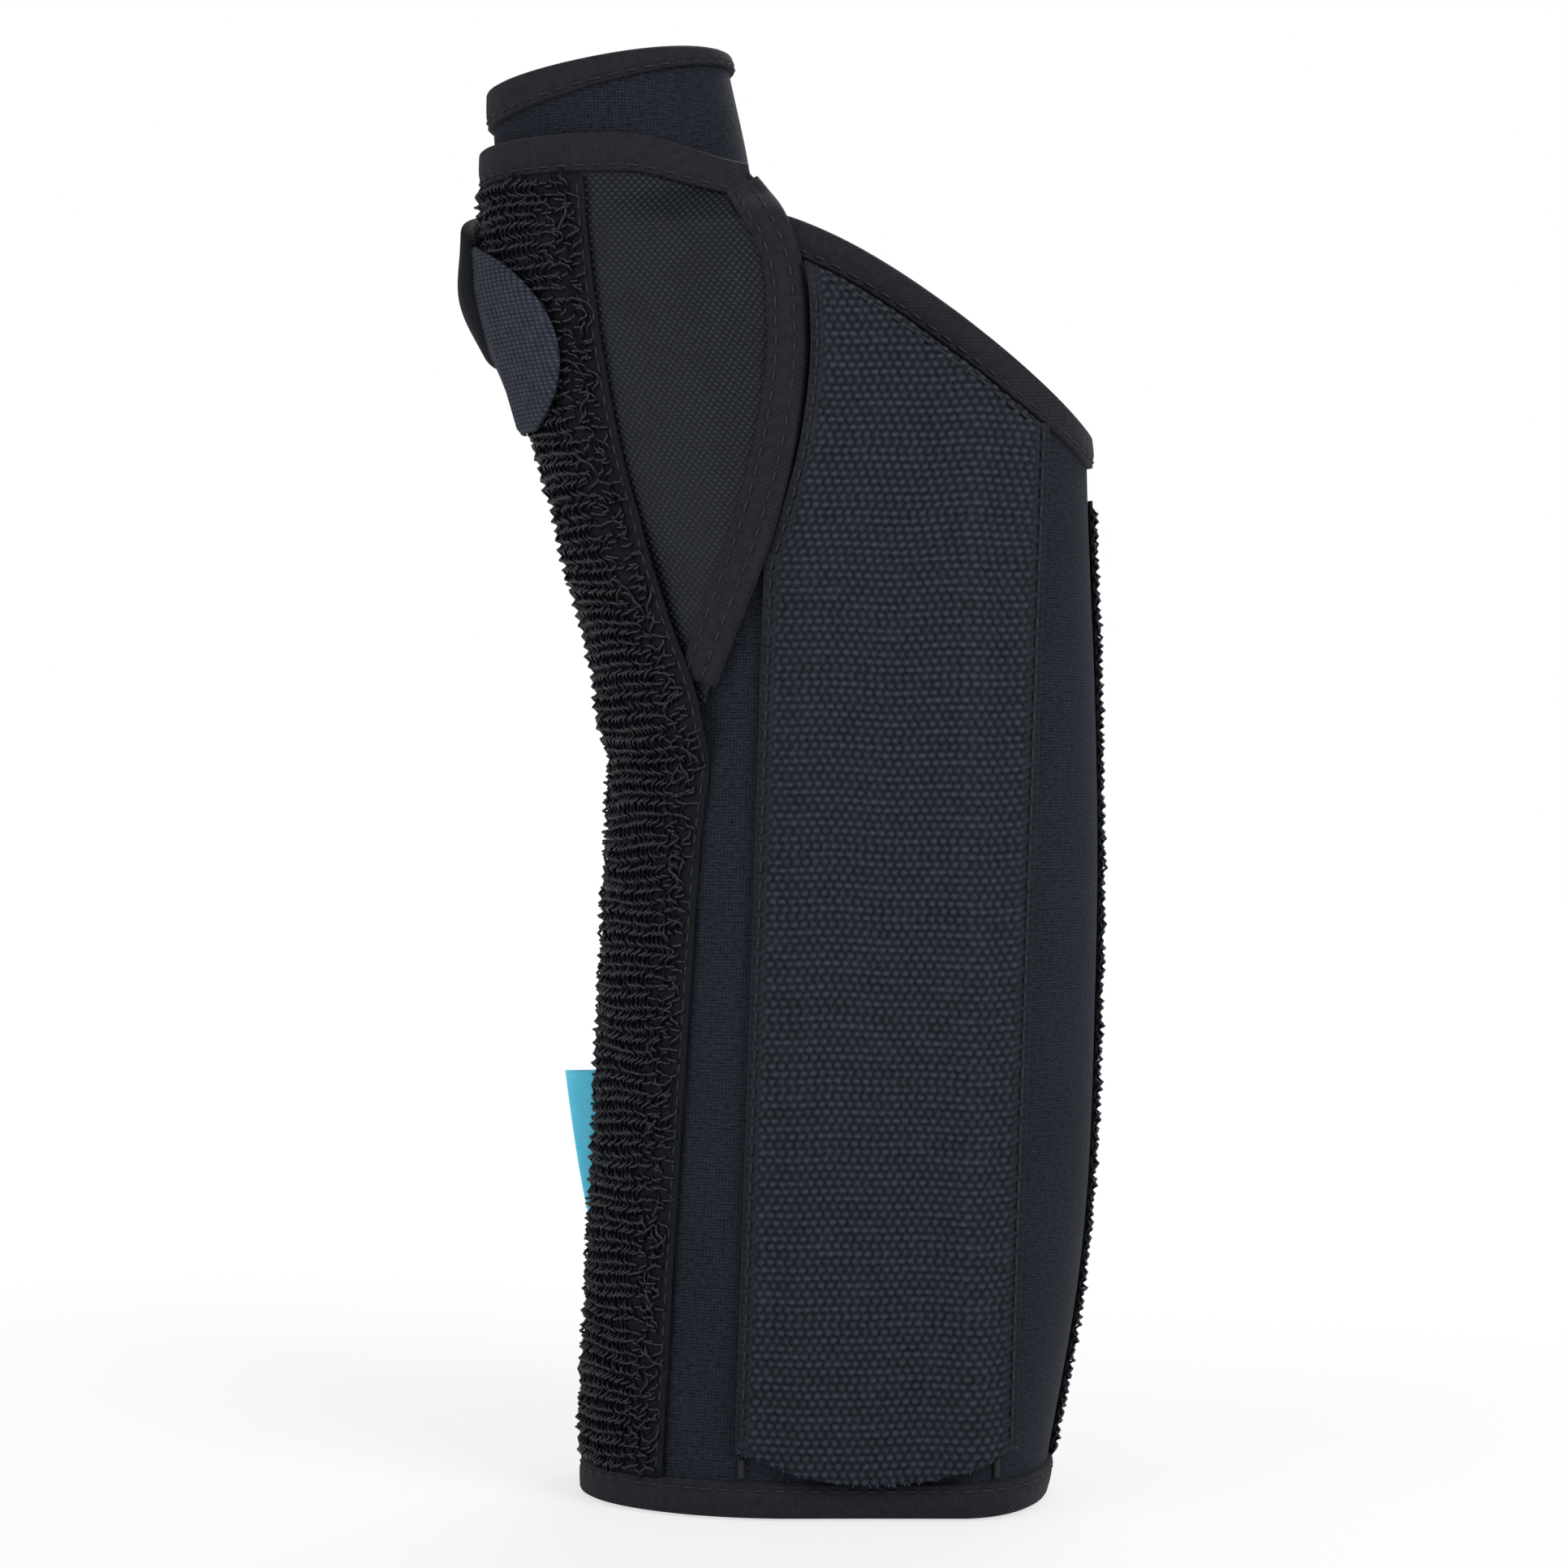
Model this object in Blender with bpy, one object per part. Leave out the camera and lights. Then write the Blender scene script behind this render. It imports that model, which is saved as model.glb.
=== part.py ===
"""A long wrist and thumb brace for the left hand, closed and standing on its cuff.

The brace is a neoprene sleeve with bound edges. It holds a flat aluminium stay behind a wide
webbing pocket on the palm side, a small stay along the thumb, and a spring stay on the closure
flap at the back. Loop tape runs down both sides, and hook tape on the flap and on the thumb
strap grips loop.

Every soft layer is a sheet laid on one surface, the skin. A place on the skin is (u, z): z is the
height above the cuff's rim, and u is the distance walked round the sleeve from its leftmost
line, over the palm side for a positive u and over the back for a negative one. A layer's depth
is measured outwards from the skin. The palm side faces -Y, the thumb is at -X, +Z points to the
fingers, and the origin is under the middle of the object.
"""

import math

import bmesh
import bpy
import numpy as np

MM = 0.001  # every size below is in millimetres, and the meshes are in metres

# Heights above the cuff's rim
WRIST_Z = 145.0  # where the thumb starts to lean out of the forearm
SEAM_Z = 205.0  # lower edge of the thumb sleeve
ULNAR_Z = 190.0  # the palm edge on the little finger's side
WEB_Z = 231.0  # the palm edge at the web of the thumb
PANEL_TOP_Z = 244.0  # top edge of the thumb panel
THUMB_TOP_Z = 258.2  # highest point of the thumb sleeve's neoprene
THUMB_TOP_DROP = 3.0  # how much lower that rim is on the outer side

# The sleeve's outline from the palm side: where its leftmost and rightmost lines are
CUFF_LEFT, FOREARM_LEFT, WRIST_LEFT = -36.4, -33.6, -30.6
CUFF_RIGHT, FOREARM_RIGHT, WRIST_RIGHT, PALM_RIGHT = 47.0, 57.0, 56.8, 55.4
FLAT_LEFT, FLAT_RIGHT = 2.0, 31.0  # the sleeve is flat between these, where the stays lie
HALF_DEPTH = 27.0
THUMB_LEFT = -52.2  # outer side of the thumb
THUMB_RIGHT = -5.0  # web side of the thumb
THUMB_TIP_RIGHT = -10.4  # web side of the thumb at its rim
THUMB_HALF_DEPTH = 19.4

# Sheets and their gaps
GAP = 0.3  # between two layers that touch
LOOSE = 0.72  # under the thumb panel, which is drawn over tight curves
NEOPRENE = 3.0
PANEL = 1.2  # woven nylon of the thumb panel
WEBBING = 1.4
LOOP_TAPE = 1.8
HOOK_TAPE = 1.2
BINDING = 0.6  # thickness of the folded edge binding
BINDING_WIDTH = 5.4
TAPE_WIDTH = 25.0  # loop tape
WEBBING_WIDTH = 50.0

# Stays
PALMAR_STAY_WIDTH, PALMAR_STAY_THICK = 25.0, 1.5
PALMAR_STAY_BOTTOM, PALMAR_STAY_TOP = 16.0, 204.0
DORSAL_STAY_WIDTH, DORSAL_STAY_THICK = 12.0, 1.0
DORSAL_STAY_BOTTOM, DORSAL_STAY_TOP = 18.0, 186.0
THUMB_STAY_WIDTH, THUMB_STAY_THICK = 10.0, 1.0
THUMB_STAY_BOTTOM, THUMB_STAY_TOP = 166.0, 228.0
STAY_CORNER = 4.0  # radius of a stay's corners

# The palm pocket's webbing, whose lower end is cut in a shallow arc
WEBBING_BOTTOM_Z, WEBBING_ARC = 12.0, 5.2
WEBBING_BOTTOM_X, WEBBING_TOP_X = -8.7, -1.6  # its left edge at the bottom and at the palm

# The closure at the back
FLAP_ROOT_X = 40.0  # the fold that the closure flap turns on
FLAP_BOTTOM_X, FLAP_TOP_X = -30.0, -17.0  # its free edge
FLAP_TOP_Z = 222.0  # its top edge, where it isn't cut to the palm edge
FLAP_RISE_FROM, FLAP_RISE_TO = 14.0, -8.0  # where it climbs over the body's free edge
BODY_FREE_X = 0.0  # the body's free edge, under the flap
DORSAL_POCKET_WIDTH = 20.0
DORSAL_STAY_X = 24.0

# The thumb strap and its hook tab
STRAP_ROOT_U, STRAP_END_U = -19.0, -1.0
STRAP_LOW_Z, STRAP_HIGH_Z = 205.0, 235.0
STRAP_THICK = 2.3
TAB_END_U = 13.5

LABEL_LOW_Z, LABEL_HIGH_Z = 50.0, 76.5
LABEL_THICK = 1.0
LABEL_REACH = 6.6  # how far it stands out at its top

EDGE = BINDING + GAP  # how far a binding reaches past the sheet that it edges
ORIGIN_X, ORIGIN_Y = 0.4, 1.3  # the middle of the object, as drawn here
STAY_LIFT = EDGE + 0.4  # a stay slides clear over the binding at its pocket's mouth


# ---------------------------------------------------------------- the skin


def smooth(t):
    """0 below 0, 1 above 1, and a smooth rise between."""
    t = np.clip(t, 0.0, 1.0)
    return t * t * (3.0 - 2.0 * t)


def through(stations, z):
    """A smooth curve through (height, value) stations: cubic pieces with central slopes."""
    heights, values = np.array(stations, float).T
    slopes = np.gradient(values, heights)
    z = np.clip(z, heights[0], heights[-1])
    k = int(np.clip(np.searchsorted(heights, z) - 1, 0, len(heights) - 2))
    width = heights[k + 1] - heights[k]
    t = (z - heights[k]) / width
    return (
        (1 + 2 * t) * (1 - t) ** 2 * values[k]
        + t * (1 - t) ** 2 * width * slopes[k]
        + t * t * (3 - 2 * t) * values[k + 1]
        + t * t * (t - 1) * width * slopes[k + 1]
    )


LEFT_LINE = (
    (0.0, CUFF_LEFT),
    (0.45 * WRIST_Z, FOREARM_LEFT),
    (0.95 * WRIST_Z, WRIST_LEFT),
    (PANEL_TOP_Z, WRIST_LEFT),
)
RIGHT_LINE = (
    (0.0, CUFF_RIGHT),
    (0.25 * WRIST_Z, 0.35 * CUFF_RIGHT + 0.65 * FOREARM_RIGHT),
    (0.65 * WRIST_Z, FOREARM_RIGHT),
    (WRIST_Z, WRIST_RIGHT),
    (ULNAR_Z, PALM_RIGHT),
    (PANEL_TOP_Z, PALM_RIGHT),
)
THUMB_LEFT_LINE = (
    (WRIST_Z - 25.0, WRIST_LEFT + 9.0),
    (WRIST_Z - 5.0, WRIST_LEFT + 3.0),
    (WRIST_Z + 0.2 * (SEAM_Z - WRIST_Z), WRIST_LEFT + 0.08 * (THUMB_LEFT - WRIST_LEFT)),
    (WRIST_Z + 0.6 * (SEAM_Z - WRIST_Z), WRIST_LEFT + 0.38 * (THUMB_LEFT - WRIST_LEFT)),
    (SEAM_Z, WRIST_LEFT + 0.74 * (THUMB_LEFT - WRIST_LEFT)),
    (0.5 * (SEAM_Z + WEB_Z), WRIST_LEFT + 0.94 * (THUMB_LEFT - WRIST_LEFT)),
    (WEB_Z, THUMB_LEFT),
    (THUMB_TOP_Z + 3.0, THUMB_LEFT - 1.6),
)
THUMB_RIGHT_LINE = (
    (WRIST_Z - 25.0, THUMB_RIGHT),
    (WEB_Z - 8.0, THUMB_RIGHT),
    (WEB_Z + 4.0, THUMB_RIGHT - 0.4),
    (THUMB_TOP_Z + 3.0, THUMB_TIP_RIGHT),
)
THUMB_DEPTH_LINE = (
    (WRIST_Z - 25.0, 0.6 * THUMB_HALF_DEPTH),
    (SEAM_Z - 10.0, 0.96 * THUMB_HALF_DEPTH),
    (WEB_Z, THUMB_HALF_DEPTH),
    (THUMB_TOP_Z + 3.0, 0.97 * THUMB_HALF_DEPTH),
)
QUARTER_STEPS = 60
BLEND = 1.0  # how sharply the palm's oval gives way to the thumb's, per millimetre


def oval(angle, centre, across, deep):
    """An ellipse's support function and its slope: how far it reaches towards each angle."""
    cosine, sine = np.cos(angle), np.sin(angle)
    root = np.sqrt((across * cosine) ** 2 + (deep * sine) ** 2)
    reach = centre * cosine + root
    slope = -centre * sine + (deep**2 - across**2) * sine * cosine / root
    return reach, slope


class Section:
    """The skin's outline at one height, from the leftmost point over the palm side to the rightmost.

    Two ovals, the palm's and the thumb's, are wrapped as a string would wrap them. The palm's
    oval is two quarter ellipses on each side of a flat. Above the web only the thumb's is left.
    """

    def __init__(self, z, thumb_only=False):
        thumb_left = through(THUMB_LEFT_LINE, z)
        thumb_right = through(THUMB_RIGHT_LINE, z)
        thumb = (
            (thumb_left + thumb_right) / 2,
            (thumb_right - thumb_left) / 2,
            through(THUMB_DEPTH_LINE, z),
        )
        shrink = 30.0 * smooth((z - (WEB_Z - 4.0)) / (PANEL_TOP_Z - WEB_Z + 6.0))
        left = (FLAT_LEFT, FLAT_LEFT - through(LEFT_LINE, z), HALF_DEPTH)
        right = (FLAT_RIGHT, through(RIGHT_LINE, z) - FLAT_RIGHT, HALF_DEPTH)
        points, angles = [], []
        quarters = ((180.0, 270.0, left), (270.0, 360.0, right))
        for start, end, palm in quarters:
            angle = np.radians(np.linspace(start, end, QUARTER_STEPS + 1))
            reach, slope = oval(angle, *thumb)
            if not thumb_only:
                palm_reach, palm_slope = oval(angle, *palm)
                palm_reach = palm_reach - shrink
                top = np.maximum(reach, palm_reach)
                ours = np.exp(BLEND * (reach - top))
                palms = np.exp(BLEND * (palm_reach - top))
                slope = (ours * slope + palms * palm_slope) / (ours + palms)
                reach = top + np.log(ours + palms) / BLEND
            out = np.stack([np.cos(angle), np.sin(angle)], 1)
            along = np.stack([-np.sin(angle), np.cos(angle)], 1)
            points.append(reach[:, None] * out + slope[:, None] * along)
            angles.append(angle)
        self.points = np.concatenate(points)
        self.angles = np.concatenate(angles)
        steps = np.linalg.norm(np.diff(self.points, axis=0), axis=1)
        self.walked = np.concatenate([[0.0], np.cumsum(steps)])
        self.half = self.walked[-1]


_sections = {}


def section(z, thumb_only=False):
    """The Section at height z, made once."""
    key = (round(float(z), 3), thumb_only)
    if key not in _sections:
        _sections[key] = Section(key[0], thumb_only)
    return _sections[key]


def on_skin(u, z, depth, thumb_only=False):
    """The point at (u, z), depth outside the skin."""
    at = section(z, thumb_only)
    u = (u + at.half) % (2 * at.half) - at.half
    side = 1.0 if u >= 0 else -1.0
    u = abs(u)
    angle = np.interp(u, at.walked, at.angles)
    x = np.interp(u, at.walked, at.points[:, 0]) + depth * math.cos(angle)
    y = np.interp(u, at.walked, at.points[:, 1]) + depth * math.sin(angle)
    return x, side * y, z


def palm_u(x, z):
    """u of the palm-side point with this x."""
    at = section(z)
    return float(np.interp(x, at.points[:, 0], at.walked))


def back_u(x, z):
    """u of the back's point with this x, walked from the left."""
    return -palm_u(x, z)


def back_u_from_right(x, z):
    """u of the same point, walked over the palm side and round the right."""
    return 2 * section(z).half - palm_u(x, z)


def skin_x(u, z):
    """x of the skin at (u, z)."""
    return on_skin(u, z, 0.0)[0]


# ---------------------------------------------------------------- outlines


def palm_edge_z(x):
    """Height of the finger-side edge: level at the web and falling to the little finger's side."""
    share = max(0.0, (x - THUMB_RIGHT) / (PALM_RIGHT + 2.0 - THUMB_RIGHT))
    return WEB_Z - (WEB_Z - ULNAR_Z) * min(1.0, share) ** 1.85


def palm_edge_at(share_u):
    """(u, z) on the finger-side edge, at this share of the way from the leftmost to the rightmost line."""
    low, high = ULNAR_Z - 10.0, WEB_Z
    for _ in range(30):
        z = (low + high) / 2
        if palm_edge_z(skin_x(share_u * section(z).half, z)) > z:
            low = z
        else:
            high = z
    return share_u * section(z).half, z


def panel_edge(z):
    """x of the thumb panel's bound edge on the palm side."""
    return through(
        (
            (WRIST_Z - 5.0, -13.5),
            (WRIST_Z + 7.0, -9.2),
            (WRIST_Z + 28.5, -1.4),
            (WRIST_Z + 46.0, 2.9),
            (SEAM_Z + 3.0, 4.3),
            (WEB_Z - 8.0, 2.4),
            (WEB_Z + 1.0, -1.6),
            (WEB_Z + 7.0, -6.0),
        ),
        z,
    )


def tape_edge(z):
    """x of the loop tape's sewn edge on the palm side."""
    return through(
        (
            (0.0, -21.6),
            (0.35 * WRIST_Z, -18.8),
            (0.8 * WRIST_Z, -14.6),
            (WRIST_Z - 5.0, -13.0),
            (WRIST_Z + 15.0, -19.0),
            (WRIST_Z + 42.0, -27.4),
            (SEAM_Z + 5.0, -31.8),
            (PANEL_TOP_Z - 8.0, -35.0),
        ),
        z,
    )


def stay_middle(z):
    """u of the thumb stay's middle, under the loop tape."""
    return palm_u(tape_edge(z), z) - TAPE_WIDTH / 2


def thumb_bump(u, z):
    """How much the panel and the tape rise over the thumb stay."""
    margin = 4.0
    beside = (abs(u - stay_middle(z)) - THUMB_STAY_WIDTH / 2 - 0.8) / margin
    below = (THUMB_STAY_BOTTOM - 1.5 - z) / margin
    above = (z - THUMB_STAY_TOP - 1.5) / margin
    rise = (1 - smooth(beside)) * (1 - smooth(below)) * (1 - smooth(above))
    return (THUMB_STAY_THICK + GAP) * float(rise)


def tape_under(u, z):
    """Depth of the loop tape's underside: on the body low down, on the panel higher up.

    Between them it crosses the end of the panel's side binding.
    """
    on_panel = float(smooth((z - (WRIST_Z - 13.0)) / 8.0))
    on_binding = on_panel * float(1 - smooth((z - (WRIST_Z + 22.0)) / 12.0))
    return GAP + (PANEL + LOOSE + GAP / 2) * on_panel + (BINDING + GAP) * on_binding + thumb_bump(u, z)


def pocket_rise(u, z, middle, flat_half, edge_half, lift):
    """How much a pocket's webbing rises over its stay, which is highest across flat_half."""
    return lift * float(1 - smooth((abs(u - middle) - flat_half) / (edge_half - flat_half)))


def flap_rise(u, z):
    """How far the closure flap stands above the skin, past the body's free edge."""
    x = skin_x(u, z)
    lift = NEOPRENE + LOOP_TAPE + HOOK_TAPE + 4 * GAP
    return lift * float(smooth((FLAP_RISE_FROM - x) / (FLAP_RISE_FROM - FLAP_RISE_TO)))


# ---------------------------------------------------------------- meshes


def add_object(name, vertices, faces, material, smooth_angle=35.0):
    """One closed mesh as one object, in metres, its faces turned outwards."""
    mesh = bpy.data.meshes.new(name)
    placed = (np.array(vertices) - (ORIGIN_X, ORIGIN_Y, 0.0)) * MM
    mesh.from_pydata(placed.tolist(), [], faces)
    body = bmesh.new()
    body.from_mesh(mesh)
    bmesh.ops.recalc_face_normals(body, faces=body.faces)
    body.to_mesh(mesh)
    body.free()
    mesh.shade_smooth()
    mesh.set_sharp_from_angle(angle=math.radians(smooth_angle))
    mesh.materials.append(material)
    made = bpy.data.objects.new(name, mesh)
    bpy.context.scene.collection.objects.link(made)
    return made


def loft(rings, closed):
    """(vertices, faces) of cross-sections joined in order: a ring, or a bar with two ends."""
    count = len(rings[0])
    vertices = [p for ring in rings for p in ring]
    faces = []
    for k in range(len(rings) if closed else len(rings) - 1):
        a, b = k * count, (k + 1) % len(rings) * count
        for i in range(count):
            j = (i + 1) % count
            faces.append((a + i, a + j, b + j, b + i))
    if not closed:
        faces.append(tuple(range(count)))
        faces.append(tuple(range(len(vertices) - count, len(vertices))))
    return vertices, faces


def sheet(name, grid, under, over, material, ring=False, thumb_only=False):
    """A sheet laid on the skin. grid[j][i] is (u, z); under and over give its two faces' depths."""
    rows, columns = len(grid), len(grid[0])
    vertices = []
    for depth in (under, over):
        for row in grid:
            vertices += [on_skin(u, z, depth(u, z), thumb_only) for u, z in row]
    top = rows * columns
    faces = []
    for j in range(rows - 1):
        for i in range(columns if ring else columns - 1):
            right = (i + 1) % columns
            a, b = j * columns + i, j * columns + right
            c, d = (j + 1) * columns + right, (j + 1) * columns + i
            faces.append((a, b, c, d))
            faces.append((top + a, top + d, top + c, top + b))
    rim = [(0, i) for i in range(columns)]
    if ring:
        rims = [rim + [(0, 0)], [(rows - 1, i) for i in range(columns)] + [(rows - 1, 0)]]
    else:
        rim += [(j, columns - 1) for j in range(1, rows)]
        rim += [(rows - 1, i) for i in range(columns - 2, -1, -1)]
        rim += [(j, 0) for j in range(rows - 2, -1, -1)]
        rims = [rim]
    for loop in rims:
        for (j, i), (k, n) in zip(loop, loop[1:]):
            a, b = j * columns + i, k * columns + n
            faces.append((a, b, top + b, top + a))
    return add_object(name, vertices, faces, material)


def between(left, right, bottom, top, across, up):
    """A grid whose rows run from left(z) to right(z), at heights from bottom to top."""
    grid = []
    for j in range(up + 1):
        z = bottom + (top - bottom) * j / up
        a, b = left(z), right(z)
        grid.append([(a + (b - a) * i / across, z) for i in range(across + 1)])
    return grid


def same(depth):
    """A depth that is the same all over."""
    return lambda u, z: depth


def from_left(z):
    """The line that u is walked from."""
    return 0.0


def palm_anchor(z):
    """u of the palm's middle line, which stays upright while the thumb swells beside it."""
    return palm_u((FLAT_LEFT + FLAT_RIGHT) / 2, z)


def back_anchor(z):
    """u of the back's middle line, walked over the palm side."""
    return back_u_from_right((FLAT_LEFT + FLAT_RIGHT) / 2, z)


def inset_line(path, insets, anchor=from_left, around=0.0, cut="mitre"):
    """For each point of path, the places that lie each inset to its left, as (u, z).

    around is the whole distance round a path that closes on itself, or 0. cut is how an open
    path's two ends are turned: square ("mitre"), "upright" or "level".
    """
    flat = [(u - anchor(z), z) for u, z in path]
    count = len(flat)
    normals = []
    for k in range(count if around else count - 1):
        (u, z), (next_u, next_z) = flat[k], flat[(k + 1) % count]
        if around and abs(next_u - u) > around / 2:
            next_u += math.copysign(around, u - next_u)
        length = math.hypot(next_u - u, next_z - z)
        normals.append((-(next_z - z) / length, (next_u - u) / length))
    places = []
    for k, (u, z) in enumerate(flat):
        before = normals[k - 1] if around or k else normals[0]
        after = normals[k] if k < len(normals) else normals[-1]
        nu, nz = (before[0] + after[0]) / 2, (before[1] + after[1]) / 2
        size = nu * nu + nz * nz
        nu, nz = nu / size, nz / size
        if not around and k in (0, count - 1) and cut != "mitre":
            nu, nz = (0.0, 1 / before[1]) if cut == "upright" else (1 / before[0], 0.0)
        row = []
        for inset in insets:
            at_z = z + inset * nz
            row.append((u + inset * nu + anchor(at_z), at_z))
        places.append(row)
    return places


def edging(name, path, side, under, over, material, wrap=True, thumb_only=False, **turned):
    """A folded binding along path, the sheet's edge as (u, z) points.

    side is 1 if the sheet lies to the left of the way the path runs, and -1 if it lies to the
    right. With wrap it folds round both faces of the sheet, and without it only covers the outer
    face and the cut edge, as where the sheet lies on another.
    """
    out, middle, width = -EDGE * side, BINDING_WIDTH / 2 * side, BINDING_WIDTH * side
    fold = -GAP * side
    insets = (out, middle, width, width, middle, fold)
    depths = [(over, EDGE)] * 3 + [(over, GAP)] * 3
    if wrap:
        insets += (fold, middle, width, width, middle, out)
        depths += [(under, -GAP)] * 3 + [(under, -EDGE)] * 3
    else:
        insets += (fold, out)
        depths += [(under, 0.0)] * 2
    rings = []
    for row in inset_line(path, insets, **turned):
        rings.append([
            on_skin(u, z, face(u, z) + extra, thumb_only) for (u, z), (face, extra) in zip(row, depths)
        ])
    vertices, faces = loft(rings, bool(turned.get("around")))
    return add_object(name, vertices, faces, material)


def rounded_plate(low, high, bottom, top, radius, steps=3):
    """(x, z) corners of an upright plate with round corners, anticlockwise."""
    outline = []
    corners = (
        (high - radius, bottom + radius, -90.0),
        (high - radius, top - radius, 0.0),
        (low + radius, top - radius, 90.0),
        (low + radius, bottom + radius, 180.0),
    )
    for x, z, start in corners:
        for k in range(steps + 1):
            angle = math.radians(start + 90.0 * k / steps)
            outline.append((x + radius * math.cos(angle), z + radius * math.sin(angle)))
    return outline


def plate(name, outline, near, far, material):
    """An upright plate of this (x, z) outline between two y values."""
    rings = [[(x, y, z) for x, z in outline] for y in (near, far)]
    vertices, faces = loft(rings, False)
    return add_object(name, vertices, faces, material)


def finish(name, colour, roughness, metallic=0.0):
    """A plain material for one kind of cloth, tape or metal."""
    made = bpy.data.materials.new(name)
    made.use_nodes = True
    shader = made.node_tree.nodes["Principled BSDF"]
    shader.inputs["Base Color"].default_value = (*colour, 1.0)
    shader.inputs["Roughness"].default_value = roughness
    shader.inputs["Metallic"].default_value = metallic
    return made


# ---------------------------------------------------------------- the pieces


def make_body(neoprene, bound):
    """The sleeve's main sheet, its cuff, palm and free edge bindings."""
    columns = 56
    heights = np.concatenate([np.linspace(0, 0.55, 6), np.linspace(0.59, 1, 13)])
    notch = 0.5 * (THUMB_LEFT + THUMB_RIGHT) + 14.5

    def top_of(u_share):
        """Height of the sheet's upper edge at this share of the half way round."""
        u, z = palm_edge_at(abs(u_share) if abs(u_share) <= 1 else 2 - abs(u_share))
        x = skin_x(u, z)
        slope = (WEB_Z - SEAM_Z) / (THUMB_RIGHT + 8.0 - notch)
        seam = SEAM_Z - GAP + max(0.0, slope * (skin_x(u, SEAM_Z) - notch))
        return min(z if x > notch else SEAM_Z, seam) - EDGE

    free = -palm_u(BODY_FREE_X, WRIST_Z) / section(WRIST_Z).half
    root = 2 - palm_u(FLAP_ROOT_X + GAP / 2, WRIST_Z) / section(WRIST_Z).half
    shares = [free + (root - free) * i / columns for i in range(columns + 1)]
    tops = [top_of(s) for s in shares]

    def place(i, z):
        """u of column i at height z: the two end columns stay upright, the others share the way."""
        first = back_u(BODY_FREE_X, z)
        last = back_u_from_right(FLAP_ROOT_X + GAP / 2, z)
        return first + (last - first) * i / columns

    grid = []
    for share in heights:
        row = []
        for i, top in enumerate(tops):
            z = EDGE + (top - EDGE) * share
            row.append((place(i, z), z))
        grid.append(row)
    sheet("body_panel", grid, same(-NEOPRENE), same(0.0), neoprene)

    cuff = [(place(i, EDGE), EDGE) for i in range(columns + 1)]
    edging("cuff_binding", cuff, 1, same(-NEOPRENE), same(0.0), bound, cut="upright")

    rim = [(place(i, tops[i]), tops[i]) for i in range(columns + 1)]
    clear = EDGE + 1.2
    palm = [
        (u, z)
        for u, z in rim
        if u > section(z).half or u > 0 and skin_x(u, z) > panel_edge(z) + clear
    ]
    edging(
        "palm_edge_binding",
        palm,
        -1,
        same(-NEOPRENE),
        same(0.0),
        bound,
        anchor=palm_anchor,
        cut="upright",
    )

    height = tops[0] - BINDING_WIDTH - 2 * GAP
    low = EDGE + BINDING_WIDTH + GAP
    free_edge = [(place(0, z), z) for z in np.linspace(low, height, 12)]
    edging("body_edge_binding", free_edge, -1, same(-NEOPRENE), same(0.0), bound, cut="level")
    return palm


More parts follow.
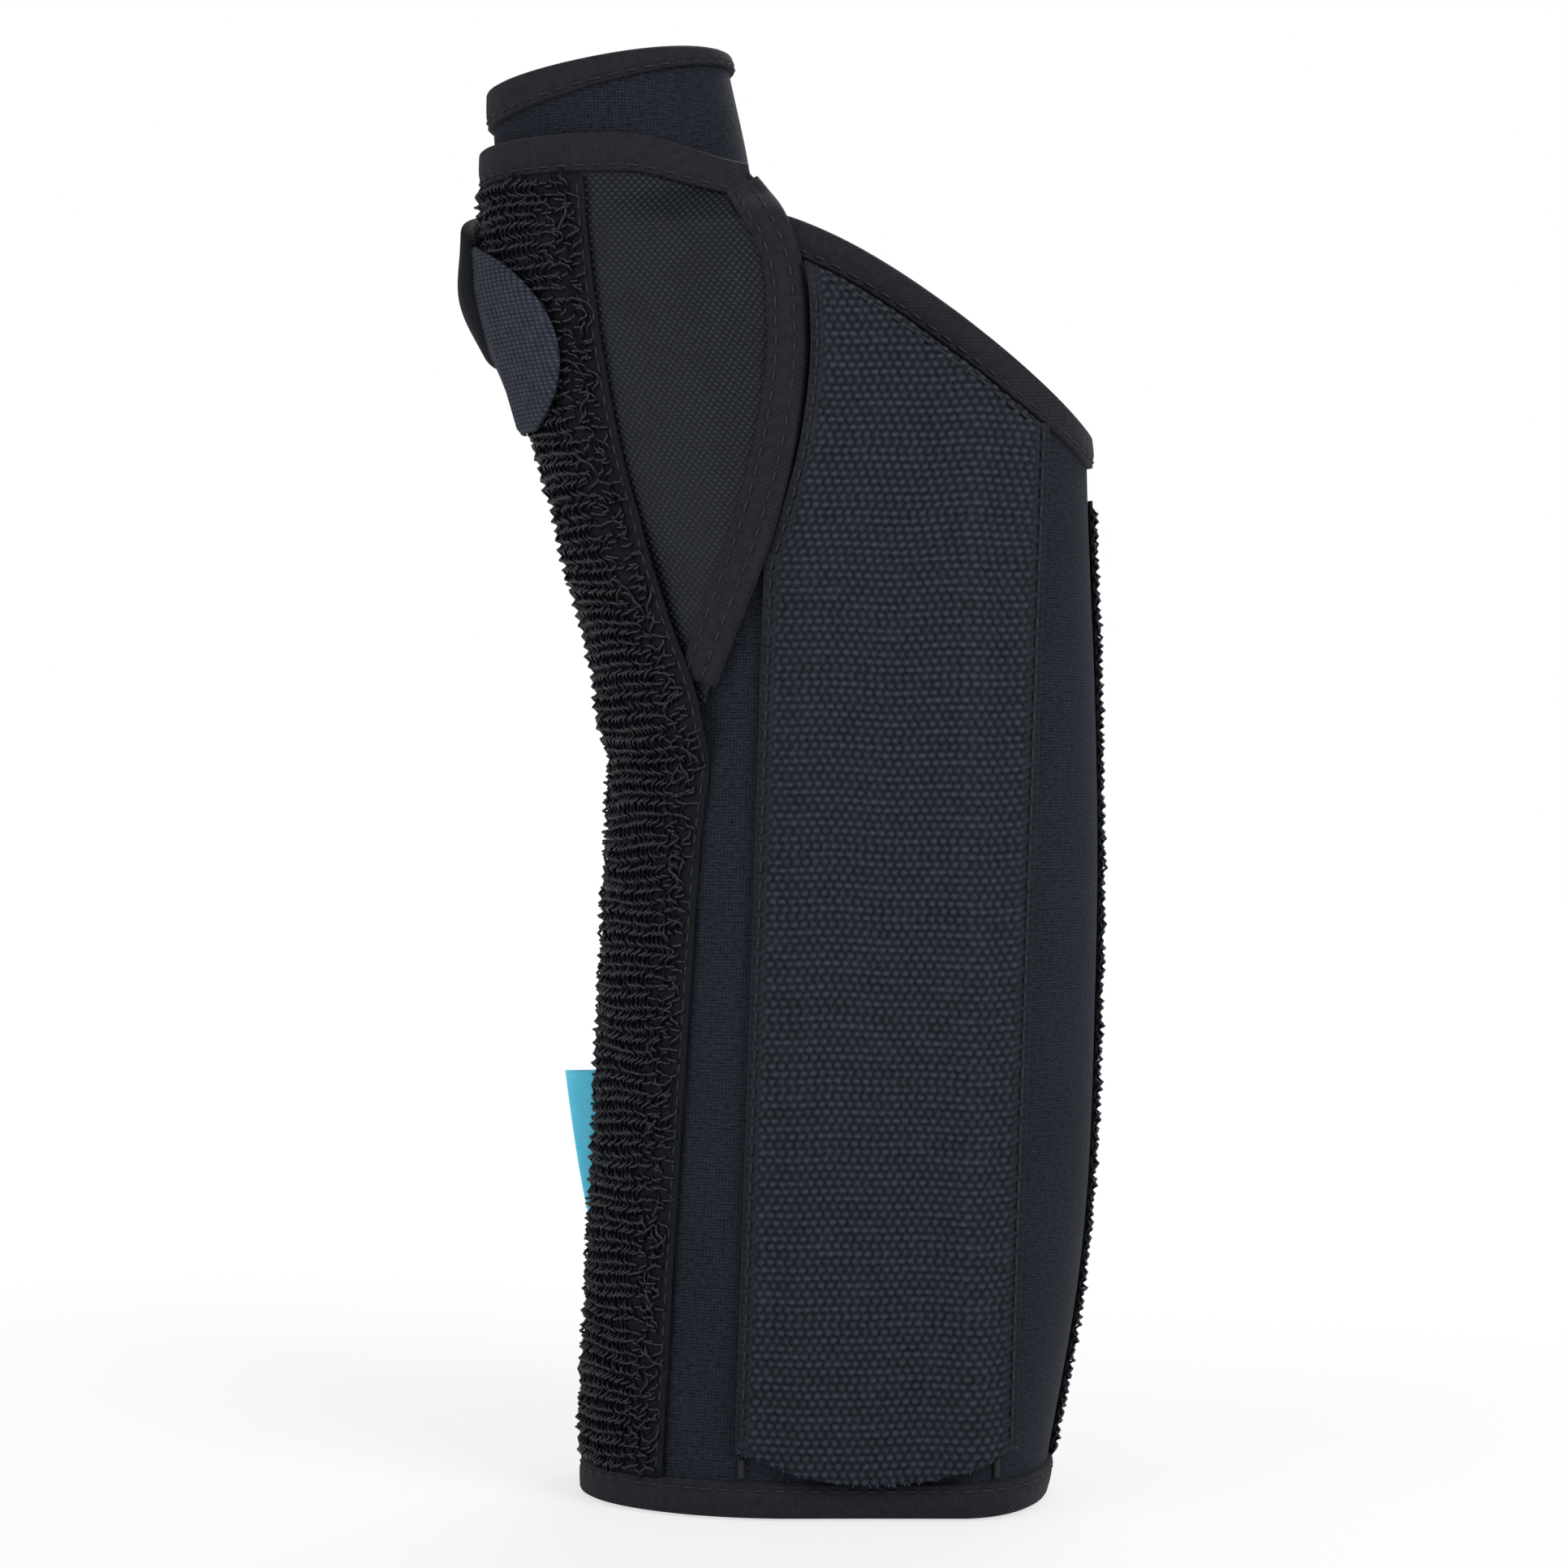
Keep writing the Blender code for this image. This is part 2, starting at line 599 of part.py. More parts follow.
def make_thumb(neoprene, nylon, bound, steel):
    """The thumb's sleeve and panel, their bindings, and the stay between them."""
    around, up = 40, 6

    def rim_z(share):
        """Height of the thumb sleeve's rim, lower on the outer side."""
        return THUMB_TOP_Z - THUMB_TOP_DROP * (1 + math.cos(2 * math.pi * share)) / 2

    grid = []
    for j in range(up + 1):
        row = []
        for i in range(around):
            share = i / around
            z = SEAM_Z + (rim_z(share) - SEAM_Z) * j / up
            row.append(((share - (share > 0.5)) * 2 * section(z, True).half, z))
        grid.append(row)
    sheet("thumb_sleeve", grid, same(-NEOPRENE), same(0.0), neoprene, ring=True, thumb_only=True)
    edging(
        "thumb_sleeve_binding",
        grid[-1],
        -1,
        same(-NEOPRENE),
        same(0.0),
        bound,
        thumb_only=True,
        around=2 * section(THUMB_TOP_Z - THUMB_TOP_DROP / 2, True).half,
    )
    half = section(WEB_Z + 3.0, True).half
    strip = between(lambda z: half - 14.0, lambda z: half + 14.0, WEB_Z - 0.2, WEB_Z + 5.6, 12, 1)
    sheet("web_binding", strip, same(GAP), same(GAP + 1.4), bound, thumb_only=True)

    back = -24.0
    low, high = WRIST_Z - 2.5, PANEL_TOP_Z - EDGE

    def panel_left(z):
        """u of the panel's hidden edge: under the tape low down, and round the back higher up."""
        start = palm_u(tape_edge(z) + 1.0, z) - 7.0
        share = float(smooth((z - low - 4.0) / (SEAM_Z - 18.0 - low)))
        return start + (back - start) * share

    def panel_right(z):
        """u of the panel's bound edge."""
        return palm_u(panel_edge(z) - EDGE, z)

    across = 24
    heights = np.concatenate([np.linspace(0, 0.78, 14), np.linspace(0.81, 1, 8)])
    top_row = []
    for u in np.linspace(panel_left(high), panel_right(WEB_Z + 5.5), across + 1):
        top_row.append((float(u), high - 5.0 * float(smooth((u - 22.0) / 26.0))))
    grid = []
    for share in heights:
        row = []
        for i, (_, top) in enumerate(top_row):
            z = low + (top - low) * share
            row.append((panel_left(z) + (panel_right(z) - panel_left(z)) * i / across, z))
        grid.append(row)
    top_row = grid[-1]

    def panel_under(u, z):
        return LOOSE + thumb_bump(u, z)

    def panel_over(u, z):
        return LOOSE + PANEL + thumb_bump(u, z)

    sheet("thumb_panel", grid, panel_under, panel_over, nylon)

    side_row = [row[-1] for row in grid if WRIST_Z + 1.0 < row[-1][1] < WEB_Z - 2.5]
    for name, path, side in (
        ("thumb_panel_side_binding", side_row, 1),
        ("thumb_panel_top_binding", top_row, -1),
    ):
        edging(name, path, side, same(LOOSE), panel_over, bound, wrap=False)

    stay = between(
        lambda z: stay_middle(z) - THUMB_STAY_WIDTH / 2,
        lambda z: stay_middle(z) + THUMB_STAY_WIDTH / 2,
        THUMB_STAY_BOTTOM,
        THUMB_STAY_TOP,
        2,
        10,
    )
    sheet("thumb_stay", stay, same(GAP), same(GAP + THUMB_STAY_THICK), steel)


def make_webbing(palm_edge, webbing, thread, metal):
    """The palm pocket's webbing, the stay in it, and the thread bars at the pocket's mouth.

    palm_edge is the body's upper edge, as (u, z) points.
    """
    stay_x = (FLAT_LEFT + FLAT_RIGHT) / 2 + 1.5
    lift = STAY_LIFT + PALMAR_STAY_THICK
    across, up = 14, 18
    inset = -(BINDING_WIDTH + 2 * GAP)
    below = [row[0] for row in inset_line(palm_edge, (inset,), anchor=palm_anchor)]
    below = [(skin_x(u, z), z) for u, z in below if u < section(z).half]
    below_x, below_z = np.array(sorted(below)).T

    def left_x(z):
        share = z / (WEB_Z - WEBBING_BOTTOM_Z)
        straight = WEBBING_BOTTOM_X + (WEBBING_TOP_X - WEBBING_BOTTOM_X) * share
        return max(straight, panel_edge(z) + GAP) if z > WRIST_Z else straight

    def right_x(z):
        share = z / (WEB_Z - WEBBING_BOTTOM_Z)
        return WEBBING_BOTTOM_X + (WEBBING_TOP_X - WEBBING_BOTTOM_X) * share + WEBBING_WIDTH - 1.6

    def top_at(x):
        """Height of the webbing's top edge, just under the palm edge's binding."""
        return float(np.interp(x, below_x, below_z))

    grid = []
    for j in range(up + 1):
        row = []
        for i in range(across + 1):
            share = i / across
            bottom_x = WEBBING_BOTTOM_X + (WEBBING_WIDTH - 1.6) * share
            low = WEBBING_BOTTOM_Z - WEBBING_ARC * (1 - (2 * share - 1) ** 2)
            x = bottom_x
            for _ in range(6):
                z = low + (min(top_at(x), WEB_Z - 2 * BINDING_WIDTH) - low) * j / up
                x = left_x(z) + (right_x(z) - left_x(z)) * share
            row.append((palm_u(x, z), z))
        grid.append(row)

    def rise(u, z):
        middle = palm_u(stay_x, z)
        return pocket_rise(u, z, middle, PALMAR_STAY_WIDTH / 2 + 0.6, PALMAR_STAY_WIDTH / 2 + 8.0, lift)

    def under(u, z):
        return GAP + rise(u, z)

    def over(u, z):
        return GAP + WEBBING + rise(u, z)

    sheet("palm_pocket_webbing", grid, under, over, webbing)

    near = -(HALF_DEPTH + STAY_LIFT)
    outline = rounded_plate(
        stay_x - PALMAR_STAY_WIDTH / 2,
        stay_x + PALMAR_STAY_WIDTH / 2,
        PALMAR_STAY_BOTTOM,
        PALMAR_STAY_TOP,
        STAY_CORNER,
    )
    plate("palmar_stay", outline, near, near - PALMAR_STAY_THICK, metal)

    bars = []
    bar_length, bar_width = 3.2, 1.0
    for x in (WEBBING_BOTTOM_X + 1.2, WEBBING_BOTTOM_X + WEBBING_WIDTH - 4.2):
        z = WEBBING_BOTTOM_Z - 1.6 - bar_length
        grid = between(
            lambda h, x=x: palm_u(x, h) - bar_width / 2,
            lambda h, x=x: palm_u(x, h) + bar_width / 2,
            z,
            z + bar_length,
            1,
            1,
        )
        bars.append(grid)
    for side, grid in zip(("left", "right"), bars):
        sheet(f"pocket_bartack_{side}", grid, same(GAP), same(GAP + 0.8), thread)


def make_tapes(pile, blue):
    """The loop tapes and the blank label that is sewn in beside one of them."""

    def tape_right(z):
        return palm_u(tape_edge(z), z)

    def tape_left(z):
        return tape_right(z) - TAPE_WIDTH

    bottom = EDGE + BINDING_WIDTH + GAP
    top = PANEL_TOP_Z - 2 * EDGE - BINDING_WIDTH - GAP
    grid = between(tape_left, tape_right, bottom, top, 9, 28)

    def over(u, z):
        return tape_under(u, z) + LOOP_TAPE

    sheet("radial_loop_tape", grid, tape_under, over, pile)

    grid = between(
        lambda z: back_u(BODY_FREE_X, z) + BINDING_WIDTH + 2 * GAP,
        lambda z: -3.0,
        bottom,
        WRIST_Z + 15.0,
        12,
        14,
    )
    sheet("dorsal_loop_panel", grid, same(GAP), same(GAP + LOOP_TAPE), pile)

    grid = between(
        lambda z: section(z).half + 1.0,
        lambda z: back_u_from_right(FLAP_ROOT_X + 3.0, z),
        bottom,
        ULNAR_Z - EDGE - BINDING_WIDTH - 3.0,
        5,
        12,
    )
    sheet("ulnar_loop_tape", grid, same(GAP), same(GAP + LOOP_TAPE), pile)

    rings = []
    for z, reach in ((LABEL_LOW_Z, 0.45 * LABEL_REACH), (LABEL_HIGH_Z, LABEL_REACH)):
        start = skin_x(0.0, z) - GAP
        half = LABEL_THICK / 2
        rings.append(
            [(start, -half, z), (start, half, z), (start - reach, half, z), (start - reach, -half, z)]
        )
    vertices, faces = loft(rings, False)
    add_object("blank_label", vertices, faces, blue)


def make_closure(neoprene, bound, hook, webbing, steel):
    """The closure flap at the back, its binding, its hook tape, and the spring stay in its pocket."""
    across, up = 16, 12

    def free_x(z):
        return FLAP_BOTTOM_X + (FLAP_TOP_X - FLAP_BOTTOM_X) * z / WEB_Z

    def at(x, z):
        return back_u_from_right(x, z)

    def under(u, z):
        return flap_rise(u, z) - NEOPRENE

    grid = []
    for j in range(up + 1):
        row = []
        for i in range(across + 1):
            share = i / across
            x = FLAP_ROOT_X - GAP / 2 + (FLAP_BOTTOM_X - FLAP_ROOT_X) * share
            for _ in range(6):
                z = EDGE + (min(palm_edge_z(x), FLAP_TOP_Z) - 2 * EDGE) * j / up
                x = FLAP_ROOT_X - GAP / 2 + (free_x(z) - FLAP_ROOT_X) * share
            row.append((at(x, z), z))
        grid.append(row)
    sheet("closure_flap", grid, under, flap_rise, neoprene)

    path = grid[0] + [row[-1] for row in grid[1:-1]] + grid[-1][::-1]
    edging(
        "closure_flap_binding",
        path,
        1,
        under,
        flap_rise,
        bound,
        anchor=back_anchor,
        cut="upright",
    )

    tape_inset = BINDING_WIDTH + 2 * GAP
    tape = between(
        lambda z: at(FLAP_RISE_TO, z),
        lambda z: at(free_x(z) + tape_inset, z),
        14.0,
        WRIST_Z + 12.0,
        4,
        10,
    )

    def hook_under(u, z):
        return flap_rise(u, z) - NEOPRENE - GAP - HOOK_TAPE

    def hook_over(u, z):
        return flap_rise(u, z) - NEOPRENE - GAP

    sheet("closure_hook_tape", tape, hook_under, hook_over, hook)

    lift = STAY_LIFT + DORSAL_STAY_THICK
    half = DORSAL_POCKET_WIDTH / 2
    pocket = between(
        lambda z: at(DORSAL_STAY_X + half, z),
        lambda z: at(DORSAL_STAY_X - half, z),
        EDGE + BINDING_WIDTH + 2.0,
        DORSAL_STAY_TOP + 4.0,
        10,
        8,
    )

    def rise(u, z):
        middle = at(DORSAL_STAY_X, z)
        return pocket_rise(u, z, middle, DORSAL_STAY_WIDTH / 2 + 0.6, half, lift)

    sheet(
        "dorsal_stay_pocket",
        pocket,
        lambda u, z: GAP + rise(u, z),
        lambda u, z: GAP + PANEL + rise(u, z),
        webbing,
    )
    near = HALF_DEPTH + STAY_LIFT
    outline = rounded_plate(
        DORSAL_STAY_X - DORSAL_STAY_WIDTH / 2,
        DORSAL_STAY_X + DORSAL_STAY_WIDTH / 2,
        DORSAL_STAY_BOTTOM,
        DORSAL_STAY_TOP,
        STAY_CORNER,
    )
    plate("dorsal_stay", outline, near, near + DORSAL_STAY_THICK, steel)


def make_strap(neoprene, hook):
    """The thumb strap, which is sewn on behind, and the hook tab on its end."""
    middle, half = (STRAP_LOW_Z + STRAP_HIGH_Z) / 2, (STRAP_HIGH_Z - STRAP_LOW_Z) / 2

    def under(u, z):
        """From the panel at its root up to the level of the loop tape's outer face."""
        climb = float(smooth((u - STRAP_ROOT_U - 3.0) / 8.0))
        return LOOSE + PANEL + GAP + (LOOP_TAPE + GAP) * climb

    across, up = 6, 8
    grid = []
    for j in range(up + 1):
        height = -1 + 2 * j / up
        end = STRAP_END_U - 9.0 * height**4
        z = middle + half * height
        row = [(STRAP_ROOT_U + (end - STRAP_ROOT_U) * i / across, z) for i in range(across + 1)]
        grid.append(row)
    sheet("thumb_strap", grid, under, lambda u, z: under(u, z) + STRAP_THICK, neoprene)

    def tab_under(u, z):
        return tape_under(u, z) + LOOP_TAPE + GAP

    tab_low, tab_high = STRAP_LOW_Z - 11.0, STRAP_HIGH_Z - 10.0
    grid = []
    for j in range(9):
        share = j / 8
        z = tab_low + (tab_high - tab_low) * share
        left = STRAP_END_U + GAP + 4.0 * max(0.0, (STRAP_LOW_Z + 6.0 - z) / 17.0) ** 1.5
        bulge = math.sin(math.pi * (0.06 + 0.88 * share)) ** 0.6
        right = left + 2.0 + (TAB_END_U - 1.0) * bulge
        grid.append([(left + (right - left) * i / 6, z) for i in range(7)])
    sheet("thumb_hook_tab", grid, tab_under, lambda u, z: tab_under(u, z) + HOOK_TAPE, hook)


def main():
    """Clears the scene and makes every piece."""
    for old in list(bpy.data.objects):
        bpy.data.objects.remove(old, do_unlink=True)
    neoprene = finish("neoprene", (0.016, 0.019, 0.028), 0.85)
    nylon = finish("woven_nylon", (0.017, 0.020, 0.024), 0.8)
    bound = finish("edge_binding", (0.026, 0.024, 0.031), 0.8)
    webbing = finish("webbing", (0.021, 0.026, 0.037), 0.75)
    pile = finish("loop_pile", (0.008, 0.009, 0.012), 0.95)
    hook = finish("hook_tape", (0.035, 0.039, 0.052), 0.8)
    thread = finish("thread", (0.015, 0.015, 0.02), 0.7)
    blue = finish("label_ribbon", (0.02, 0.5, 0.75), 0.5)
    aluminium = finish("stay_aluminium", (0.6, 0.61, 0.63), 0.4, 1.0)
    steel = finish("stay_spring_steel", (0.35, 0.36, 0.38), 0.35, 1.0)
    palm_edge = make_body(neoprene, bound)
    make_thumb(neoprene, nylon, bound, steel)
    make_webbing(palm_edge, webbing, thread, aluminium)
    make_tapes(pile, blue)
    make_closure(neoprene, bound, hook, webbing, steel)
    make_strap(neoprene, hook)


main()
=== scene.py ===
"""Looks for a long wrist and thumb guard, closed and standing on its cuff.

Every soft layer lies on one surface, the skin of the guard. A place on it is (u, z): z is the
height above the cuff's rim, and u the distance walked round from the leftmost line, over the palm
side for a positive u and over the back for a negative one. A layer's depth is measured outwards.
Sizes are in millimetres and the meshes in metres.
"""

import logging
import math
from dataclasses import dataclass, field
from enum import Enum
from typing import Any, Callable, Optional

import bpy
import numpy as np
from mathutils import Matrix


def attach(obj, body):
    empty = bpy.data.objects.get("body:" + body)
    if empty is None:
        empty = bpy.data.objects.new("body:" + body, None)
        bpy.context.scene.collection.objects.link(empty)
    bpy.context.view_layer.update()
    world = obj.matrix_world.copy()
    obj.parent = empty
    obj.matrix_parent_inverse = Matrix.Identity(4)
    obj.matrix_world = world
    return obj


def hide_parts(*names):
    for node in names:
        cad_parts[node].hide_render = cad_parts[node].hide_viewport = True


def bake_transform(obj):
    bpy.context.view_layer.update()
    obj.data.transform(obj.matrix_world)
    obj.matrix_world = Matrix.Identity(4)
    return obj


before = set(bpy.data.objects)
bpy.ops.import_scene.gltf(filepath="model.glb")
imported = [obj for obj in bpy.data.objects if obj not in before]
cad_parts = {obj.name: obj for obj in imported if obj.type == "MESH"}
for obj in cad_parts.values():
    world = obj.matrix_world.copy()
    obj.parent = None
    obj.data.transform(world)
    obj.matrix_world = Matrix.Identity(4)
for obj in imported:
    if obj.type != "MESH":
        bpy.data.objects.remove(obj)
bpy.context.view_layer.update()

LOG = logging.getLogger("wrist_guard")
Array = np.ndarray
Depth = Callable[[Array, Array], Array]
Fold = Optional[tuple[str, str, Array, Array]]

MM = 0.001
SHIFT = np.array([0.4, 1.3, 0.0])  # the drawing's axes against the model's

# Heights
WRIST_Z, SEAM_Z, ULNAR_Z, WEB_Z = 145.0, 205.0, 190.0, 231.0
PANEL_TOP_Z, THUMB_TOP_Z, THUMB_TOP_DROP = 244.0, 258.2, 3.0
# Outline
CUFF_LEFT, FOREARM_LEFT, WRIST_LEFT = -36.4, -33.6, -30.6
CUFF_RIGHT, FOREARM_RIGHT, WRIST_RIGHT, PALM_RIGHT = 47.0, 57.0, 56.8, 55.4
FLAT_LEFT, FLAT_RIGHT, HALF_DEPTH = 2.0, 31.0, 27.0
THUMB_LEFT, THUMB_RIGHT, THUMB_TIP_RIGHT, THUMB_HALF_DEPTH = -52.2, -5.0, -10.4, 19.4
# Layers
GAP, LOOSE, NEOPRENE, PANEL, WEBBING = 0.3, 0.72, 3.0, 1.2, 1.4
LOOP_TAPE, HOOK_TAPE, BINDING, BINDING_WIDTH = 1.8, 1.2, 0.6, 5.4
TAPE_WIDTH, WEBBING_WIDTH = 25.0, 50.0
EDGE = BINDING + GAP
# Stays
PALMAR_STAY_WIDTH, PALMAR_STAY_THICK = 25.0, 1.5
DORSAL_STAY_WIDTH, DORSAL_STAY_THICK, DORSAL_STAY_TOP = 12.0, 1.0, 186.0
THUMB_STAY_WIDTH, THUMB_STAY_THICK = 10.0, 1.0
THUMB_STAY_BOTTOM, THUMB_STAY_TOP = 166.0, 228.0
STAY_LIFT = EDGE + 0.4
# Webbing
WEBBING_BOTTOM_Z, WEBBING_ARC = 12.0, 5.2
WEBBING_BOTTOM_X, WEBBING_TOP_X = -8.7, -1.6
# Closure
FLAP_ROOT_X, FLAP_BOTTOM_X, FLAP_TOP_X, FLAP_TOP_Z = 40.0, -30.0, -17.0, 222.0
FLAP_RISE_FROM, FLAP_RISE_TO, BODY_FREE_X = 14.0, -8.0, 0.0
DORSAL_POCKET_WIDTH, DORSAL_STAY_X = 20.0, 24.0
# Strap
STRAP_ROOT_U, STRAP_END_U, STRAP_LOW_Z, STRAP_HIGH_Z = -19.0, -1.0, 205.0, 235.0
STRAP_THICK = 2.3
# Label
LABEL_LOW_Z, LABEL_HIGH_Z, LABEL_REACH = 50.0, 76.5, 6.6

STITCH_PITCH, STITCH_LENGTH = 3.3, 2.45
HALVINGS = 26  # steps of each search by halving, which end far below a micrometre
FLAP_FOLD = (0.3, 6.4)  # how far from its root the flap's cloth starts and ends its bend
STRAP_FOLD = 4.0  # how far from its root the strap ends its bend


# ------------------------------------------------------------------ the skin


def smooth(t: Array) -> Array:
    """0 below 0, 1 above 1, and 3t2 - 2t3 between."""
    t = np.clip(t, 0.0, 1.0)
    return t * t * (3.0 - 2.0 * t)


@dataclass(frozen=True)
class Line:
    """A smooth line through (height, value) stations."""

    stations: tuple

    def at(self, z: Array) -> Array:
        """Its value at each height: cubic pieces with central slopes.

        Args:
            z: heights in millimetres.

        Returns:
            The values, in an array of the same shape.
        """
        heights, values = np.array(self.stations, float).T
        slopes = np.gradient(values, heights)
        z = np.clip(z, heights[0], heights[-1])
        k = np.clip(np.searchsorted(heights, z) - 1, 0, len(heights) - 2)
        width = heights[k + 1] - heights[k]
        t = (z - heights[k]) / width
        return (
            (1 + 2 * t) * (1 - t) ** 2 * values[k]
            + t * (1 - t) ** 2 * width * slopes[k]
            + t * t * (3 - 2 * t) * values[k + 1]
            + t * t * (t - 1) * width * slopes[k + 1]
        )


LEFT_LINE = Line((
    (0.0, CUFF_LEFT),
    (0.45 * WRIST_Z, FOREARM_LEFT),
    (0.95 * WRIST_Z, WRIST_LEFT),
    (PANEL_TOP_Z, WRIST_LEFT),
))
RIGHT_LINE = Line((
    (0.0, CUFF_RIGHT),
    (0.25 * WRIST_Z, 0.35 * CUFF_RIGHT + 0.65 * FOREARM_RIGHT),
    (0.65 * WRIST_Z, FOREARM_RIGHT),
    (WRIST_Z, WRIST_RIGHT),
    (ULNAR_Z, PALM_RIGHT),
    (PANEL_TOP_Z, PALM_RIGHT),
))
LEAN = THUMB_LEFT - WRIST_LEFT
THUMB_LEFT_LINE = Line((
    (WRIST_Z - 25.0, WRIST_LEFT + 9.0),
    (WRIST_Z - 5.0, WRIST_LEFT + 3.0),
    (WRIST_Z + 0.2 * (SEAM_Z - WRIST_Z), WRIST_LEFT + 0.08 * LEAN),
    (WRIST_Z + 0.6 * (SEAM_Z - WRIST_Z), WRIST_LEFT + 0.38 * LEAN),
    (SEAM_Z, WRIST_LEFT + 0.74 * LEAN),
    (0.5 * (SEAM_Z + WEB_Z), WRIST_LEFT + 0.94 * LEAN),
    (WEB_Z, THUMB_LEFT),
    (THUMB_TOP_Z + 3.0, THUMB_LEFT - 1.6),
))
THUMB_RIGHT_LINE = Line((
    (WRIST_Z - 25.0, THUMB_RIGHT),
    (WEB_Z - 8.0, THUMB_RIGHT),
    (WEB_Z + 4.0, THUMB_RIGHT - 0.4),
    (THUMB_TOP_Z + 3.0, THUMB_TIP_RIGHT),
))
THUMB_DEPTH_LINE = Line((
    (WRIST_Z - 25.0, 0.6 * THUMB_HALF_DEPTH),
    (SEAM_Z - 10.0, 0.96 * THUMB_HALF_DEPTH),
    (WEB_Z, THUMB_HALF_DEPTH),
    (THUMB_TOP_Z + 3.0, 0.97 * THUMB_HALF_DEPTH),
))
PANEL_EDGE = Line((
    (WRIST_Z - 5.0, -13.5),
    (WRIST_Z + 7.0, -9.2),
    (WRIST_Z + 28.5, -1.4),
    (WRIST_Z + 46.0, 2.9),
    (SEAM_Z + 3.0, 4.3),
    (WEB_Z - 8.0, 2.4),
    (WEB_Z + 1.0, -1.6),
    (WEB_Z + 7.0, -6.0),
))
TAPE_EDGE = Line((
    (0.0, -21.6),
    (0.35 * WRIST_Z, -18.8),
    (0.8 * WRIST_Z, -14.6),
    (WRIST_Z - 5.0, -13.0),
    (WRIST_Z + 15.0, -19.0),
    (WRIST_Z + 42.0, -27.4),
    (SEAM_Z + 5.0, -31.8),
    (PANEL_TOP_Z - 8.0, -35.0),
))


def oval(angle: Array, centre: Array, across: Array, deep: Array) -> tuple[Array, Array]:
    """An ellipse's support function (how far it reaches towards each angle) and its slope."""
    cosine, sine = np.cos(angle), np.sin(angle)
    root = np.sqrt((across * cosine) ** 2 + (deep * sine) ** 2)
    return centre * cosine + root, -centre * sine + (deep**2 - across**2) * sine * cosine / root


class Skin:
    """The guard's surface, or with thumb_only just the thumb's, as a table of outlines.

    Each outline wraps two ovals, the palm's and the thumb's, as a string would: its support
    function is log(exp(palm) + exp(thumb)), and its points are reach * out + slope * along.
    """

    STEP = 0.5
    COUNT = 600

    def __init__(self, thumb_only: bool = False) -> None:
        """Works out the table.

        Args:
            thumb_only: whether only the thumb's oval is left.
        """
        self.heights = np.arange(-2.0, THUMB_TOP_Z + 4.0, self.STEP)
        z = self.heights[:, None]
        quarter = np.linspace(0.0, 90.0, 61)
        angle = np.radians(np.concatenate([180 + quarter, 270 + quarter]))[None, :]
        left = (np.arange(angle.size) < quarter.size)[None, :]
        low, high = THUMB_LEFT_LINE.at(z), THUMB_RIGHT_LINE.at(z)
        reach, slope = oval(angle, (low + high) / 2, (high - low) / 2, THUMB_DEPTH_LINE.at(z))
        if not thumb_only:
            centre = np.where(left, FLAT_LEFT, FLAT_RIGHT)
            across = np.where(left, FLAT_LEFT - LEFT_LINE.at(z), RIGHT_LINE.at(z) - FLAT_RIGHT)
            palm, palm_slope = oval(angle, centre, across, HALF_DEPTH)
            palm = palm - 30.0 * smooth((z - (WEB_Z - 4.0)) / (PANEL_TOP_Z - WEB_Z + 6.0))
            top = np.maximum(reach, palm)
            ours, palms = np.exp(reach - top), np.exp(palm - top)
            slope = (ours * slope + palms * palm_slope) / (ours + palms)
            reach = top + np.log(ours + palms)
        x = reach * np.cos(angle) - slope * np.sin(angle)
        y = reach * np.sin(angle) + slope * np.cos(angle)
        steps = np.hypot(np.diff(x, axis=1), np.diff(y, axis=1))
        walked = np.concatenate([np.zeros_like(z), np.cumsum(steps, axis=1)], axis=1)
        self.halves = walked[:, -1]
        shares = np.linspace(0.0, 1.0, self.COUNT)
        turned = np.broadcast_to(angle, x.shape)
        self.table = np.array([
            [np.interp(shares * w[-1], w, row) for row in rows]
            for w, *rows in zip(walked, x, y, turned)
        ])

    def half(self, z: Array) -> Array:
        """Distance from the leftmost line to the rightmost, at each height."""
        return np.interp(z, self.heights, self.halves)

    def _look_up(self, share: Array, z: Array) -> Array:
        """(x, y, angle) by bilinear interpolation, share being the part of the half way round."""
        row = np.clip((z - self.heights[0]) / self.STEP, 0, len(self.heights) - 1.001)
        column = np.clip(share, 0, 1) * (self.COUNT - 1.001)
        j, i = row.astype(int), column.astype(int)
        a, b = (row - j)[..., None], (column - i)[..., None]
        table = self.table
        return (
            (1 - a) * (1 - b) * table[j, :, i]
            + (1 - a) * b * table[j, :, i + 1]
            + a * (1 - b) * table[j + 1, :, i]
            + a * b * table[j + 1, :, i + 1]
        )

    def place(self, u: Array, z: Array, depth: Array) -> Array:
        """The points depth outside the skin at (u, z).

        Args:
            u: distance round from the leftmost line.
            z: height.
            depth: distance outwards.

        Returns:
            Points in the model's axes, in metres.
        """
        u, z, depth = np.broadcast_arrays(*(np.asarray(v, float) for v in (u, z, depth)))
        half = self.half(z)
        u = (u + half) % (2 * half) - half
        x, y, angle = np.moveaxis(self._look_up(np.abs(u) / half, z), -1, 0)
        x = x + depth * np.cos(angle)
        y = (y + depth * np.sin(angle)) * np.where(u >= 0, 1.0, -1.0)
        return (np.stack([x, y, z], -1) - SHIFT) * MM

    def x(self, u: Array, z: Array) -> Array:
        """The drawing's x of the skin at (u, z)."""
        return self.place(u, z, 0.0)[..., 0] / MM + SHIFT[0]

    def palm_u(self, x: Array, z: Array) -> Array:
        """u of the palm-side point with this x, found by halving."""
        x, z = np.broadcast_arrays(np.asarray(x, float), np.asarray(z, float))
        low, high = np.zeros_like(z), np.ones_like(z)
        for _ in range(HALVINGS):
            middle = (low + high) / 2
            right = self._look_up(middle, z)[..., 0] > x
            low, high = np.where(right, low, middle), np.where(right, middle, high)
        return (low + high) / 2 * self.half(z)

